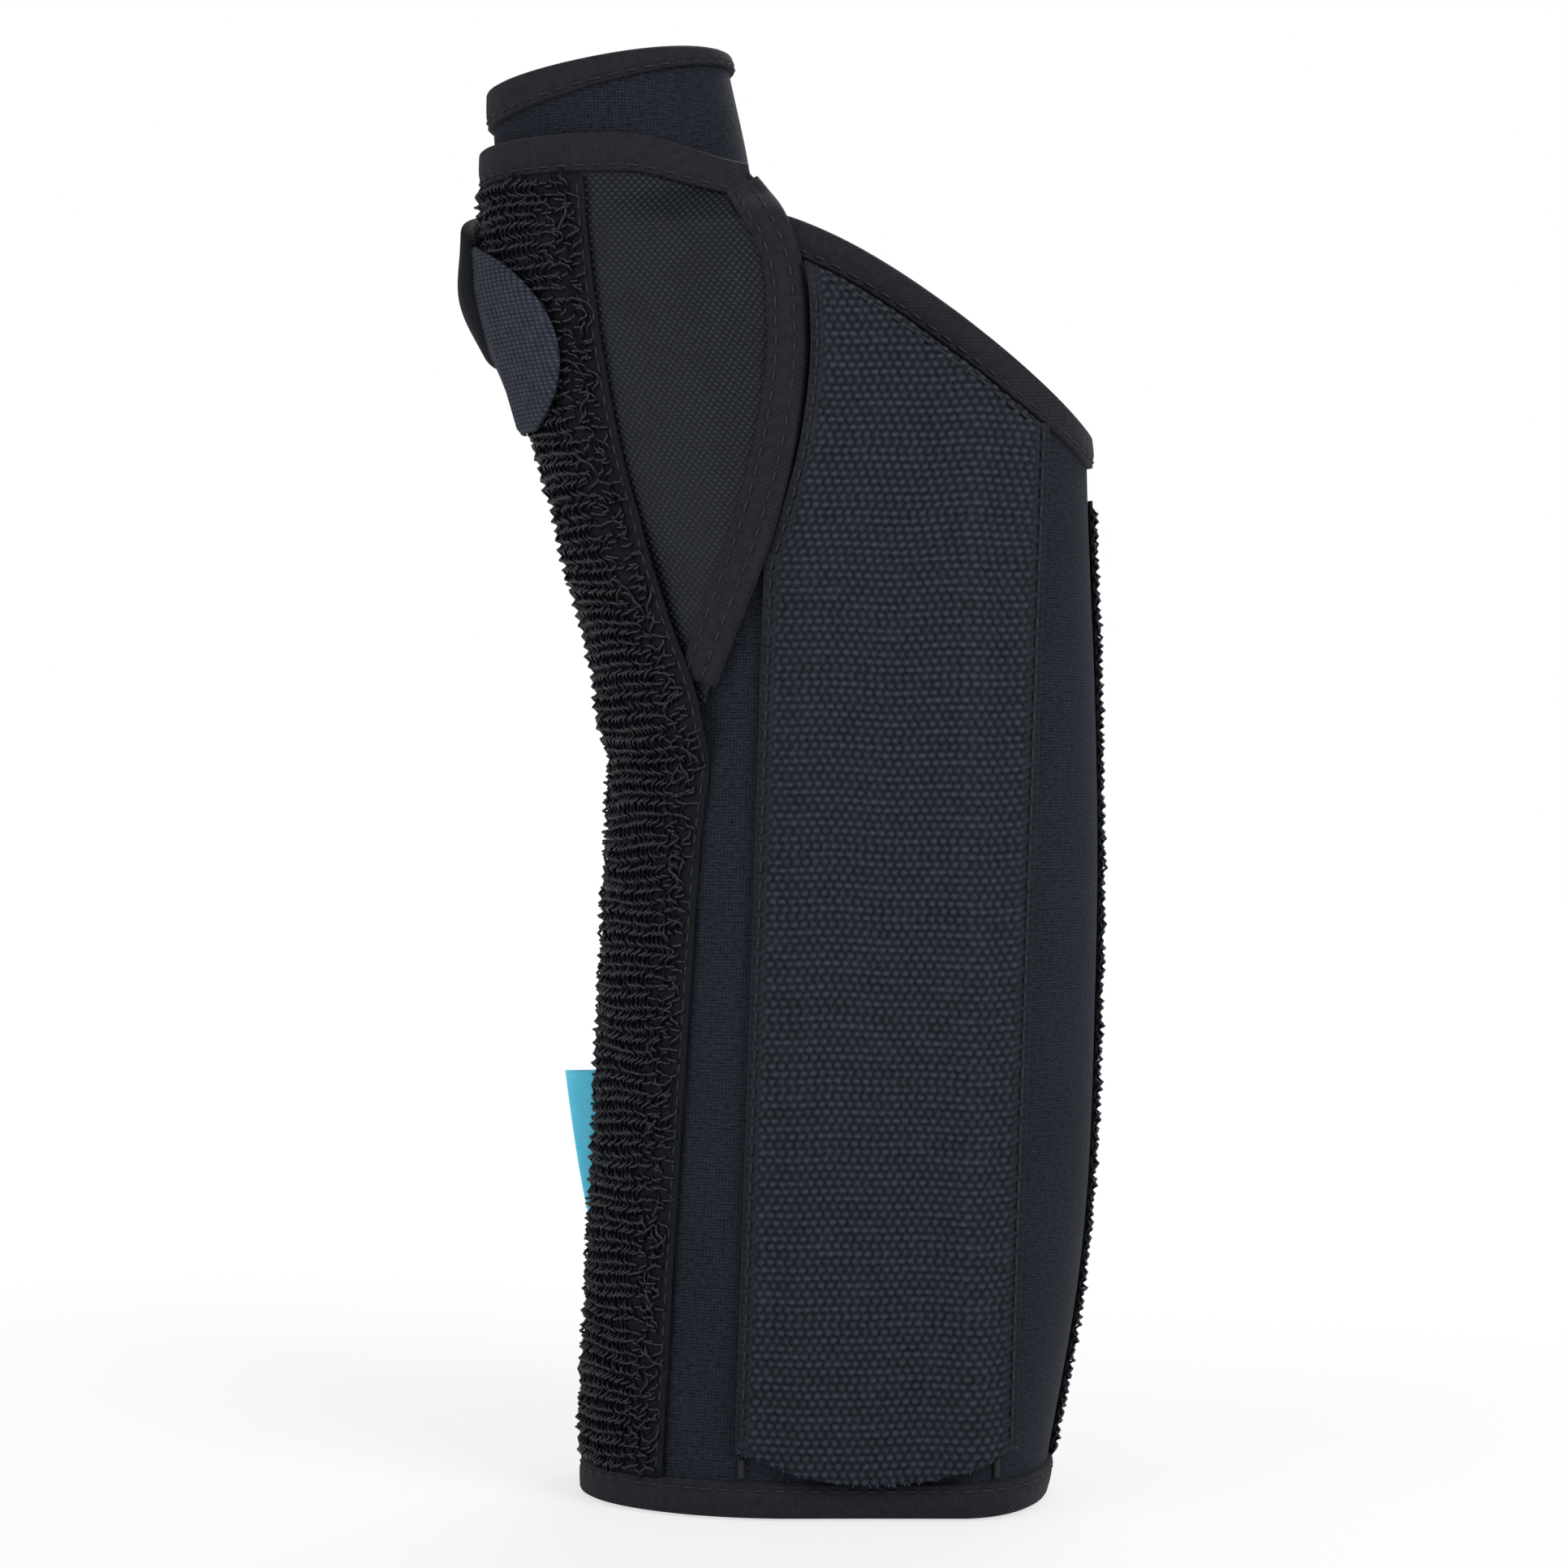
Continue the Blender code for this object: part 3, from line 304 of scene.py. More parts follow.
    def back_u(self, x: Array, z: Array) -> Array:
        """u of the back's point with this x, walked from the left."""
        return -self.palm_u(x, z)

    def round_u(self, x: Array, z: Array) -> Array:
        """u of the same point, walked over the palm side and round the right."""
        return 2 * self.half(z) - self.palm_u(x, z)


SKIN = Skin()
THUMB_SKIN = Skin(thumb_only=True)


# ------------------------------------------------------------------ outlines and depths


def palm_edge_z(x: Array) -> Array:
    """Height of the finger-side edge: level at the web, falling as a power of the way across."""
    share = np.clip((x - THUMB_RIGHT) / (PALM_RIGHT + 2.0 - THUMB_RIGHT), 0.0, 1.0)
    return WEB_Z - (WEB_Z - ULNAR_Z) * share**1.85


def palm_edge_at(share: Array) -> tuple[Array, Array]:
    """(u, z) on the finger-side edge, at each share of the half way round."""
    low = np.full_like(share, ULNAR_Z - 10.0)
    high = np.full_like(share, WEB_Z)
    for _ in range(HALVINGS):
        z = (low + high) / 2
        under = palm_edge_z(SKIN.x(share * SKIN.half(z), z)) > z
        low, high = np.where(under, z, low), np.where(under, high, z)
    return share * SKIN.half(z), z


def tape_right(z: Array) -> Array:
    """u of the loop tape's sewn edge."""
    return SKIN.palm_u(TAPE_EDGE.at(z), z)


def thumb_bump(u: Array, z: Array) -> Array:
    """How much the panel and the tape rise over the thumb stay: a plateau with smooth sides."""
    beside = (abs(u - tape_right(z) + TAPE_WIDTH / 2) - THUMB_STAY_WIDTH / 2 - 0.8) / 4.0
    below = (THUMB_STAY_BOTTOM - 1.5 - z) / 4.0
    above = (z - THUMB_STAY_TOP - 1.5) / 4.0
    rise = THUMB_STAY_THICK + GAP
    return rise * (1 - smooth(beside)) * (1 - smooth(below)) * (1 - smooth(above))


def tape_under(u: Array, z: Array) -> Array:
    """Depth of the loop tape's underside: on the body low down, on the panel higher up."""
    on_panel = smooth((z - (WRIST_Z - 13.0)) / 8.0)
    on_binding = on_panel * (1 - smooth((z - (WRIST_Z + 22.0)) / 12.0))
    return (
        GAP
        + (PANEL + LOOSE + GAP / 2) * on_panel
        + (BINDING + GAP) * on_binding
        + thumb_bump(u, z)
    )


def flap_rise(u: Array, z: Array) -> Array:
    """How far the closure flap stands above the skin, past the body's free edge."""
    lift = NEOPRENE + LOOP_TAPE + HOOK_TAPE + 4 * GAP
    return lift * smooth((FLAP_RISE_FROM - SKIN.x(u, z)) / (FLAP_RISE_FROM - FLAP_RISE_TO))


def level(depth: float) -> Depth:
    """A depth that is the same all over."""
    return lambda u, z: np.full(np.broadcast(u, z).shape, depth)


def palm_anchor(z: Array) -> Array:
    """u of the palm's middle line, which stays upright while the thumb swells beside it."""
    return SKIN.palm_u((FLAT_LEFT + FLAT_RIGHT) / 2, z)


def back_anchor(z: Array) -> Array:
    """u of the back's middle line, walked over the palm side."""
    return SKIN.round_u((FLAT_LEFT + FLAT_RIGHT) / 2, z)


# ------------------------------------------------------------------ meshes


def add_mesh(
    name: str,
    points: Array,
    groups: list[Array],
    corners: Array,
    wrap: Optional[Array] = None,
    values: Optional[dict[str, Array]] = None,
) -> bpy.types.Object:
    """One mesh object at the origin, with a UV map in metres of cloth.

    Args:
        name: the object's name.
        points: vertices, (n, 3), in metres.
        groups: arrays of faces of equal length, whose numbers index corners.
        corners: (m, 2) UV of each face corner number.
        wrap: the vertex that each corner number means, or None if they are the same.
        values: float attributes by name, one number for each vertex.

    Returns:
        The linked object, its faces turned outwards.
    """
    groups = [g for g in groups if len(g)]
    wrap = np.arange(len(points)) if wrap is None else wrap
    inner = points.mean(0)
    volume = 0.0
    for g in groups:
        v = points[wrap[g]] - inner
        for k in range(1, g.shape[1] - 1):
            volume += np.einsum("ij,ij->", v[:, 0], np.cross(v[:, k], v[:, k + 1]))
    if volume < 0:
        groups = [g[:, ::-1] for g in groups]
    used = np.concatenate([g.ravel() for g in groups])
    sizes = np.concatenate([np.full(len(g), g.shape[1]) for g in groups])
    mesh = bpy.data.meshes.new(name)
    mesh.vertices.add(len(points))
    mesh.vertices.foreach_set("co", points.astype(np.float32).ravel())
    mesh.loops.add(len(used))
    mesh.loops.foreach_set("vertex_index", wrap[used].astype(np.int32))
    mesh.polygons.add(len(sizes))
    starts = np.concatenate([[0], np.cumsum(sizes)[:-1]])
    mesh.polygons.foreach_set("loop_start", starts.astype(np.int32))
    mesh.polygons.foreach_set("loop_total", sizes.astype(np.int32))
    mesh.update(calc_edges=True)
    cloth = mesh.uv_layers.new(name="cloth").data
    cloth.foreach_set("uv", corners[used].astype(np.float32).ravel())
    for key, numbers in (values or {}).items():
        mesh.attributes.new(key, "FLOAT", "POINT").data.foreach_set(
            "value", numbers.astype(np.float32).ravel()
        )
    mesh.validate()
    mesh.shade_smooth()
    made = bpy.data.objects.new(name, mesh)
    bpy.context.scene.collection.objects.link(made)
    return made


def quads(rows: int, columns: int) -> Array:
    """The faces of a grid whose points are numbered row by row."""
    first = (np.arange(rows - 1)[:, None] * columns + np.arange(columns - 1)).ravel()
    return np.stack([first, first + 1, first + columns + 1, first + columns], 1)


def rim_edges(rows: int, columns: int, step: int, ring: bool) -> list[Array]:
    """The numbers of a grid's points round its rim, step + 1 of them to each row."""
    bottom = np.arange(columns)
    top = bottom[::-1] + (rows - 1) * columns
    if ring:
        loops = [bottom, top]
    else:
        right = np.arange(rows) * columns + columns - 1
        left = np.arange(rows)[::-1] * columns
        loops = [np.concatenate([bottom, right[1:], top[1:], left[1:]])]
    found = []
    for loop in loops:
        starts = np.arange(0, len(loop) - 1, step)
        found.append(loop[starts[:, None] + np.arange(step + 1)])
    return found


def shell(
    name: str,
    outer: Array,
    inner: Array,
    uv: Array,
    ring: bool = False,
    step: int = 1,
    crest: Optional[Array] = None,
) -> bpy.types.Object:
    """A closed sheet between two grids of points.

    Args:
        name: the object's name.
        outer: (rows, columns, 3) points. A ring's last column repeats its first.
        inner: the same grid at every step-th row and column, on the other face.
        uv: (rows, columns, 2) cloth coordinates of the outer grid, in metres.
        ring: whether the sheet closes round on itself.
        step: how much coarser the inner grid is.
        crest: a height for each outer point, kept as the attribute "crest".

    Returns:
        The object.
    """
    rows, columns = outer.shape[:2]
    few, less = inner.shape[:2]
    kept, kept_inner = (columns - 1, less - 1) if ring else (columns, less)
    points = np.concatenate([outer[:, :kept].reshape(-1, 3), inner[:, :kept_inner].reshape(-1, 3)])
    number = np.arange(rows)[:, None] * kept + np.arange(columns) % kept
    number_inner = np.arange(few)[:, None] * kept_inner + np.arange(less) % kept_inner
    wrap = np.concatenate([number.ravel(), number_inner.ravel() + rows * kept])
    corners = np.concatenate([uv.reshape(-1, 2), uv[::step, ::step].reshape(-1, 2)])
    base = rows * columns
    groups = [quads(rows, columns), quads(few, less)[:, ::-1] + base]
    fine, coarse = rim_edges(rows, columns, step, ring), rim_edges(few, less, 1, ring)
    for a, b in zip(fine, coarse):
        groups.append(np.concatenate([a[:, ::-1], b + base], 1))
    values = None
    if crest is not None:
        values = {"crest": np.concatenate([
            crest[:, :kept].ravel(), np.zeros(few * kept_inner)
        ])}
    return add_mesh(name, points, groups, corners, wrap, values)


def sweep(name: str, rings: Array, uv: Array, closed: bool) -> bpy.types.Object:
    """A bar with the cross-sections rings[k], each a loop of points.

    Args:
        name: the object's name.
        rings: (count, points, 3).
        uv: (count, points, 2) in metres.
        closed: whether the last section joins the first.

    Returns:
        The object.
    """
    count, around = rings.shape[:2]
    rows = count + 1 if closed else count
    wrap = (np.arange(rows)[:, None] % count) * around + np.arange(around + 1) % around
    full = np.concatenate([uv, uv[:, :1] + [0.0, np.ptp(uv[..., 1])]], axis=1)
    if closed:
        full = np.concatenate([full, full[:1] + [np.ptp(uv[..., 0]) + 0.001, 0.0]], axis=0)
    groups = [quads(rows, around + 1)]
    if not closed:
        last = (count - 1) * (around + 1)
        groups.append(np.stack([np.arange(around)[::-1], last + np.arange(around)]))
    return add_mesh(name, rings.reshape(-1, 3), groups, full.reshape(-1, 2), wrap.ravel())


def strands(
    name: str, paths: Array, radii: Array, outwards: Array, sides: int = 5
) -> bpy.types.Object:
    """Many short round threads in one mesh.

    Each thread's ring at a point is point + radius * (cos * across + sin * up), where across is
    the path's direction crossed with outwards, and up is across crossed with that direction.

    Args:
        name: the object's name.
        paths: (threads, points, 3) middle lines in metres.
        radii: (points,) in metres.
        outwards: (threads, 3) directions away from the cloth.
        sides: corners of the round.

    Returns:
        The object.
    """
    count, steps = paths.shape[:2]
    along = np.gradient(paths, axis=1)
    along /= np.linalg.norm(along, axis=-1, keepdims=True) + 1e-12
    across = np.cross(along, outwards[:, None, :])
    across /= np.linalg.norm(across, axis=-1, keepdims=True) + 1e-12
    up = np.cross(across, along)
    turn = np.arange(sides) * 2 * math.pi / sides
    round_ = (
        np.cos(turn)[:, None] * across[:, :, None, :] + np.sin(turn)[:, None] * up[:, :, None, :]
    )
    points = paths[:, :, None, :] + round_ * radii[None, :, None, None]
    one = np.arange(steps - 1)[:, None] * sides + np.arange(sides)
    after = np.arange(steps - 1)[:, None] * sides + (np.arange(sides) + 1) % sides
    face = np.stack([one, after, after + sides, one + sides], -1).reshape(-1, 4)
    base = (np.arange(count) * steps * sides)[:, None, None]
    sides_faces = (face[None] + base).reshape(-1, 4)
    start = np.arange(sides)[None, ::-1] + base[:, 0]
    end = np.arange(sides)[None] + (steps - 1) * sides + base[:, 0]
    flat = points.reshape(-1, 3)
    lengths = np.linspace(0.0, 0.003, steps)
    corners = np.stack(np.broadcast_arrays(lengths[None, :, None], turn[None, None, :] * 1e-4), -1)
    corners = np.broadcast_to(corners, (count, steps, sides, 2)).reshape(-1, 2)
    return add_mesh(name, flat, [sides_faces, start, end], corners)


def normals_on(skin: Skin, u: Array, z: Array) -> Array:
    """The level outward direction of the skin at each (u, z)."""
    out = skin.place(u, z, 1.0) - skin.place(u, z, 0.0)
    return out / np.linalg.norm(out, axis=-1, keepdims=True)


@dataclass
class Seam:
    """A row of lockstitches along a line on the cloth.

    Each stitch is a short thread that dips into the cloth at both ends.
    """

    name: str
    u: Array
    z: Array
    depth: Array
    skin: Skin = field(default_factory=lambda: SKIN)
    pitch: float = STITCH_PITCH
    length: float = STITCH_LENGTH
    radius: float = 0.27

    def build(self) -> bpy.types.Object:
        """Makes the row.

        Returns:
            The object that holds every stitch of the row.
        """
        line = self.skin.place(self.u, self.z, self.depth)
        walked = np.concatenate([[0.0], np.cumsum(np.linalg.norm(np.diff(line, axis=0), axis=1))])
        starts = np.arange(0.6, walked[-1] / MM - self.length, self.pitch) * MM
        share = np.linspace(0.0, 1.0, 6)
        at = starts[:, None] + share * self.length * MM
        u, z, depth = (np.interp(at, walked, v) for v in (self.u, self.z, self.depth))
        dip = self.radius * 1.3 * (2 * share - 1) ** 4
        paths = self.skin.place(u, z, depth + 0.12 - dip)
        radii = self.radius * MM * (1 - 0.35 * (2 * share - 1) ** 4)
        out = normals_on(self.skin, u[:, 3], z[:, 3])
        return strands(self.name, paths, radii, out, 6)


def resample(
    u: Array, z: Array, skin: Skin, spacing: float, closed: bool = False
) -> tuple[Array, Array]:
    """A path's points set evenly, spacing millimetres apart along the skin."""
    line = skin.place(u, z, 0.0)
    walked = np.concatenate([[0.0], np.cumsum(np.linalg.norm(np.diff(line, axis=0), axis=1))])
    count = max(4, int(walked[-1] / MM / spacing))
    at = np.linspace(0.0, walked[-1], count + 1)
    if closed:
        at = at[:-1]
    return np.interp(at, walked, u), np.interp(at, walked, z)


@dataclass
class Binding:
    """A folded binding sewn over an edge.

    Its cross-section is a rounded fold: it leaves the cloth's outer face, swells slightly, dips
    at each stitch line, turns round the cut edge on a half circle, and returns inside.
    """

    name: str
    u: Array
    z: Array
    side: float
    under: Depth
    over: Depth
    skin: Skin = field(default_factory=lambda: SKIN)
    anchor: Optional[Callable[[Array], Array]] = None
    closed: bool = False
    cut: str = "mitre"
    wraps: bool = True
    width: float = BINDING_WIDTH
    stitch_lines: tuple = (4.25,)
    pucker: float = 0.07
    spacing: float = 0.9
    taper: Optional[Callable[[Array, Array], Array]] = None

    def frame(self) -> tuple[Array, Array, Array, Array]:
        """The even path with its unit normals, in anchored coordinates."""
        u, z = resample(self.u, self.z, self.skin, self.spacing, self.closed)
        if self.anchor:
            u = u - self.anchor(z)
        if self.closed:
            du = np.roll(u, -1) - np.roll(u, 1)
            around = 2 * self.skin.half(z)
            du = np.where(np.abs(du) > around / 2, du - np.sign(du) * around, du)
            dz = np.roll(z, -1) - np.roll(z, 1)
        else:
            du, dz = np.gradient(u), np.gradient(z)
        size = np.hypot(du, dz)
        nu, nz = -dz / size * self.side, du / size * self.side
        if not self.closed and self.cut == "upright":
            for k in (0, -1):
                nu[k], nz[k] = 0.0, 1 / nz[k]
        if not self.closed and self.cut == "level":
            for k in (0, -1):
                nu[k], nz[k] = 1 / nu[k], 0.0
        return u, z, nu, nz

    def offset(self, inset: Array) -> tuple[Array, Array]:
        """(u, z) at each inset (columns) from each point of the path (rows)."""
        u, z, nu, nz = self.frame()
        at_z = z[:, None] + nz[:, None] * inset
        at_u = u[:, None] + nu[:, None] * inset
        if self.anchor:
            at_u = at_u + self.anchor(at_z)
        return at_u, at_z

    def build(self) -> list[bpy.types.Object]:
        """Makes the binding and its rows of stitches.

        Returns:
            The binding, then each row of stitches.
        """
        width = self.width
        outside = np.array([1.0, 0.985, 0.93, 0.86, 0.78, 0.7, 0.58, 0.42, 0.25, 0.1, 0.0]) * width
        turn = np.linspace(0.0, math.pi, 9)[1:-1]
        inset = np.concatenate([outside, -EDGE * np.sin(turn), outside[::-1]])
        flat = len(outside)
        face = np.concatenate([np.ones(flat), (1 + np.cos(turn)) / 2, np.zeros(flat)])
        lift = np.full(flat, EDGE)
        lift[:2] = (0.1, EDGE - 0.25)
        lift += 0.18 * np.sin(np.pi * np.clip(outside / width, 0, 1))
        for line in self.stitch_lines:
            lift -= 0.26 * np.exp(-(((outside - line) / 0.55) ** 2))
        edge_lift = EDGE * np.cos(turn)
        if self.wraps:
            inside = -lift[::-1]
        else:
            inside = np.full(flat, 0.05)
            edge_lift = np.where(edge_lift < 0, 0.0, edge_lift)
        extra = np.concatenate([lift, edge_lift, inside])
        path_u, path_z, _, _ = self.frame()
        narrow = np.ones(len(path_u)) if self.taper is None else self.taper(path_u, path_z)
        u, z = self.offset(np.where(inset > 0, inset * narrow[:, None], inset))
        along = np.arange(len(u))[:, None] * self.spacing
        puckered = self.pucker * np.cos(2 * np.pi * along / STITCH_PITCH) * np.exp(
            -(((inset - 3.4) / 1.8) ** 2)
        ) * (face > 0.99)
        slow = 0.10 * np.sin(along / 9.0 + 1.3) * np.sin(along / 23.0)
        depth = face * self.over(u, z) + (1 - face) * self.under(u, z) + extra + puckered
        depth = depth + slow * (face > 0.5)
        rings = self.skin.place(u, z, depth)
        across = np.concatenate([[0.0], np.cumsum(np.hypot(np.diff(inset), np.diff(extra)))])
        uv = np.stack(np.broadcast_arrays(along, across[None]), -1) * MM
        made = [sweep(self.name, rings, uv, self.closed)]
        for k, line in enumerate(self.stitch_lines):
            at = line * narrow[:, None]
            su, sz = (v[:, 0] for v in self.offset(at))
            if self.closed:
                su = np.unwrap(su, period=float(2 * self.skin.half(sz).mean()))
            depth = self.over(su, sz) + EDGE - 0.1
            made.append(Seam(f"{self.name}_stitches_{k + 1}", su, sz, depth, self.skin).build())
        return made


@dataclass
class Pile:
    """Loops or hooks that stand on a tape in rows, each a short bent thread.

    A thread's path in its own (across, along, up) frame is an arc, for t over the arc:
    across = lean * sin(t) - half * cos(t), along = slant * (sin(2t) / 2 - cos(t)), and
    up = height * sin(t). Each thread's four sizes vary a little.
    """

    name: str
    u: Array
    z: Array
    base: Array
    height: float = 1.25
    half: float = 0.62
    slant: Any = 0.75
    radius: float = 0.24
    arc: float = 1.0
    sides: int = 4
    steps: int = 5
    seed: int = 3
    tumble: float = 0.3

    def build(self) -> bpy.types.Object:
        """Makes every loop of the pile.

        Returns:
            One object.
        """
        rng = np.random.default_rng(self.seed)
        u, z, base = self.u.ravel(), self.z.ravel(), self.base.ravel()
        count = len(u)
        t = np.linspace(0.0, math.pi * self.arc, self.steps)[None, :]
        slant = np.broadcast_to(self.slant, self.u.shape).reshape(-1, 1)
        slant = slant * (1 + self.tumble * rng.normal(size=(count, 1)))
        half = self.half * (1 + 0.25 * rng.normal(size=(count, 1)))
        height = self.height * (1 + 0.2 * rng.normal(size=(count, 1)).clip(-2, 2))
        lean = 0.9 * rng.normal(size=(count, 1)) * self.tumble
        across = -half * np.cos(t) + lean * np.sin(t)
        along = -slant * np.cos(t) + 0.5 * slant * np.sin(2 * t)
        up = height * np.sin(t)
        paths = SKIN.place(u[:, None] + across, z[:, None] + along, base[:, None] + up)
        out = normals_on(SKIN, u, z)
        radii = np.full(self.steps, self.radius * MM)
        out = out + 0.3 * np.array([0.0, 0.0, 1.0])
        return strands(self.name, paths, radii, out, self.sides)


# ------------------------------------------------------------------ finishes


def linear(code: str) -> tuple[float, float, float, float]:
    """The linear colour of an sRGB hex code."""
    parts = np.array([int(code[k : k + 2], 16) for k in (1, 3, 5)]) / 255.0
    parts = np.where(parts <= 0.04045, parts / 12.92, ((parts + 0.055) / 1.055) ** 2.4)
    return (*(float(v) for v in parts), 1.0)


def add(
    tree: bpy.types.NodeTree,
    kind: str,
    inputs: dict[Any, Any],
    give: Optional[Any] = None,
    **settings: Any,
) -> Any:
    """Adds a node with its settings, its plain values and its links.

    Args:
        tree: the material's or world's node tree.
        kind: the node's type, without the words that every type starts with.
        inputs: for each input's name or number, a value or another node's output.
        give: the name or number of the output to return.
        settings: the node's own properties.

    Returns:
        That output, or the node if give is None.
    """
    made = tree.nodes.new("ShaderNode" + kind)
    for key, value in settings.items():
        setattr(made, key, value)
    for key, value in inputs.items():
        if isinstance(value, bpy.types.NodeSocket):
            tree.links.new(value, made.inputs[key])
        else:
            made.inputs[key].default_value = value
    return made if give is None else made.outputs[give]


def waves(period_mm: float, distortion: float = 0.0, detail: float = 1.0) -> dict[str, float]:
    """A Wave texture's values, in metres of cloth, for bands that repeat every period_mm."""
    scale = math.pi / (10.0 * period_mm * MM)
    return {"Scale": scale, "Distortion": distortion, "Detail": detail}


def total(tree: bpy.types.NodeTree, start: Any, *terms: tuple[Any, Any]) -> Any:
    """start plus the product of each pair, as the output of a chain of sums."""
    for first, second in terms:
        inputs = {0: first, 1: second, 2: start}
        start = add(tree, "Math", inputs, 0, operation="MULTIPLY_ADD")
    return start


class Finish:
    """What every finish shares: a material by name, from its first node to its shader."""

    name: str = "finish"
    dark: str = "#000000"
    light: str = "#FFFFFF"

    def start(self) -> tuple[bpy.types.Material, bpy.types.NodeTree, Any]:
        """A new material, its tree and its cloth coordinates' output."""
        made = bpy.data.materials.new(self.name)
        made.use_nodes = True
        tree = made.node_tree
        return made, tree, add(tree, "UVMap", {}, "UV", uv_map="cloth")

    def close(
        self,
        tree: bpy.types.NodeTree,
        tone: Any,
        height: Any,
        relief: tuple[float, float],
        sockets: dict[str, Any],
    ) -> None:
        """Leads the pattern to the shader.

        Args:
            tree: the material's node tree.
            tone: the output that runs from the dark colour at 0 to the light one at 1.
            height: the output that stands for the surface's relief, 0 to 1.
            relief: how deep that relief is in millimetres, and its strength.
            sockets: the shader's own values.
        """
        shader = tree.nodes["Principled BSDF"]
        ends = {"Factor": tone, 6: linear(self.dark), 7: linear(self.light)}
        colour = add(tree, "Mix", ends, 2, data_type="RGBA")
        tree.links.new(colour, shader.inputs["Base Color"])
        for key, value in sockets.items():
            shader.inputs[key].default_value = value
        depth, strength = relief
        bump = {"Height": height, "Distance": depth * MM, "Strength": strength}
        tree.links.new(add(tree, "Bump", bump, "Normal"), shader.inputs["Normal"])


@dataclass(frozen=True)
class Jersey(Finish):
    """Neoprene foam faced with knitted jersey: fine upright wales and a soft, dark sheen.

    The real wales are about 0.35 mm apart. They are drawn at 0.62 mm, so that they show.
    """

    name: str = "neoprene_jersey"
    dark: str = "#010102"
    light: str = "#2F3441"
    wale_mm: float = 0.62
    course_mm: float = 0.55

    def material(self) -> bpy.types.Material:
        """The finish as a material."""
        made, tree, cloth = self.start()
        columns = {"Vector": cloth, **waves(self.wale_mm, 0.6), "Detail Scale": 2.0}
        wales = add(tree, "TexWave", columns, "Fac", bands_direction="X")
        rows = {"Vector": cloth, **waves(self.course_mm, 0.8)}
        courses = add(tree, "TexWave", rows, "Fac", bands_direction="Y")
        knit = total(tree, 0.0, (wales, courses))
        cloud = add(tree, "TexNoise", {"Vector": cloth, "Scale": 38.0, "Detail": 3.0}, "Fac")
        flat = add(tree, "Mapping", {"Vector": cloth, "Scale": (1.0, 2.2, 1.0)}, "Vector")
        fibres = {"Vector": flat, "Scale": 850.0, "Detail": 3.0, "Roughness": 0.75}
        lint = add(tree, "TexNoise", fibres, "Fac")
        spread = add(tree, "MapRange", {"Value": lint, "From Min": 0.3, "From Max": 0.7}, "Result")
        tone = total(tree, -0.12, (knit, 0.5), (cloud, 0.22), (spread, 0.6))
        self.close(tree, tone, tone, (0.22, 0.7), {
            "Roughness": 0.7,
            "Specular IOR Level": 0.1,
            "Sheen Weight": 0.03,
            "Sheen Roughness": 0.45,
            "Sheen Tint": linear("#9AA6C8"),
        })
        return made


@dataclass(frozen=True)
class HeavyWeave(Finish):
    """Polyester webbing in a coarse plain weave: beads of yarn, with painted highlights on their
    tops and painted shade between them.

    The beads are in the mesh. Here the filaments of each yarn, drawn 0.2 mm apart, cross them.
    """

    name: str = "webbing_yarn"
    dark: str = "#0A0C11"
    light: str = "#3A4150"
    filament_mm: float = 0.2

    def material(self) -> bpy.types.Material:
        """The finish as a material."""
        made, tree, cloth = self.start()
        crest = add(tree, "Attribute", {}, "Fac", attribute_name="crest")
        lines = {"Vector": cloth, **waves(self.filament_mm, 2.0, 2.0), "Detail Scale": 3.0}
        strand = add(tree, "TexWave", lines, "Fac", bands_direction="X")
        cloud = add(tree, "TexNoise", {"Vector": cloth, "Scale": 260.0, "Detail": 3.0}, "Fac")
        # The colour follows each bead's crest: lighter on top as a painted highlight, darker
        # between the beads as painted shade.
        crest_highlight = add(tree, "Math", {0: crest, 1: 4.0}, 0, operation="POWER")
        tone = total(tree, -0.11, (crest_highlight, 0.42), (crest, 0.34), (strand, 0.10), (cloud, 0.22))
        self.close(tree, tone, strand, (0.05, 0.6), {
            "Roughness": 0.6,
            "Specular IOR Level": 0.15,
            "Sheen Weight": 0.02,
            "Sheen Roughness": 0.4,
        })
        return made


@dataclass(frozen=True)
class DashWeave(Finish):
    """Woven nylon of the thumb panel: short floats in staggered rows, slightly glossy.

    Real floats are about 1.1 mm long, in rows 0.45 mm apart. They are drawn larger, to show.
    """

    name: str = "woven_nylon"
    dark: str = "#020304"
    light: str = "#2A303C"
    float_mm: float = 1.3
    row_mm: float = 0.7

    def material(self) -> bpy.types.Material:
        """The finish as a material."""
        made, tree, cloth = self.start()
        scale = (1.0 / (self.float_mm * MM), 0.5 / (self.row_mm * MM), 1.0)
        slant = {"Vector": cloth, "Scale": scale, "Rotation": (0, 0, math.radians(45))}
        turned = add(tree, "Mapping", slant, "Vector")
        # Two slanting waves a unit's diagonal apart peak together on a staggered lattice of floats.
        apart = math.pi / (10.0 * math.sqrt(0.5))
        band = {"Vector": turned, "Scale": apart, "Distortion": 0.5}
        first, second = (
            add(tree, "TexWave", band, "Fac", bands_direction=way) for way in ("X", "Y")
        )
        floats = total(tree, 0.0, (first, second))
        cloud = add(tree, "TexNoise", {"Vector": cloth, "Scale": 120.0, "Detail": 4.0}, "Fac")
        tone = total(tree, 0.0, (floats, total(tree, 0.45, (cloud, 1.0))))
        sockets = {"Roughness": 0.55, "Specular IOR Level": 0.22}
        self.close(tree, tone, floats, (0.14, 0.8), sockets)
        return made


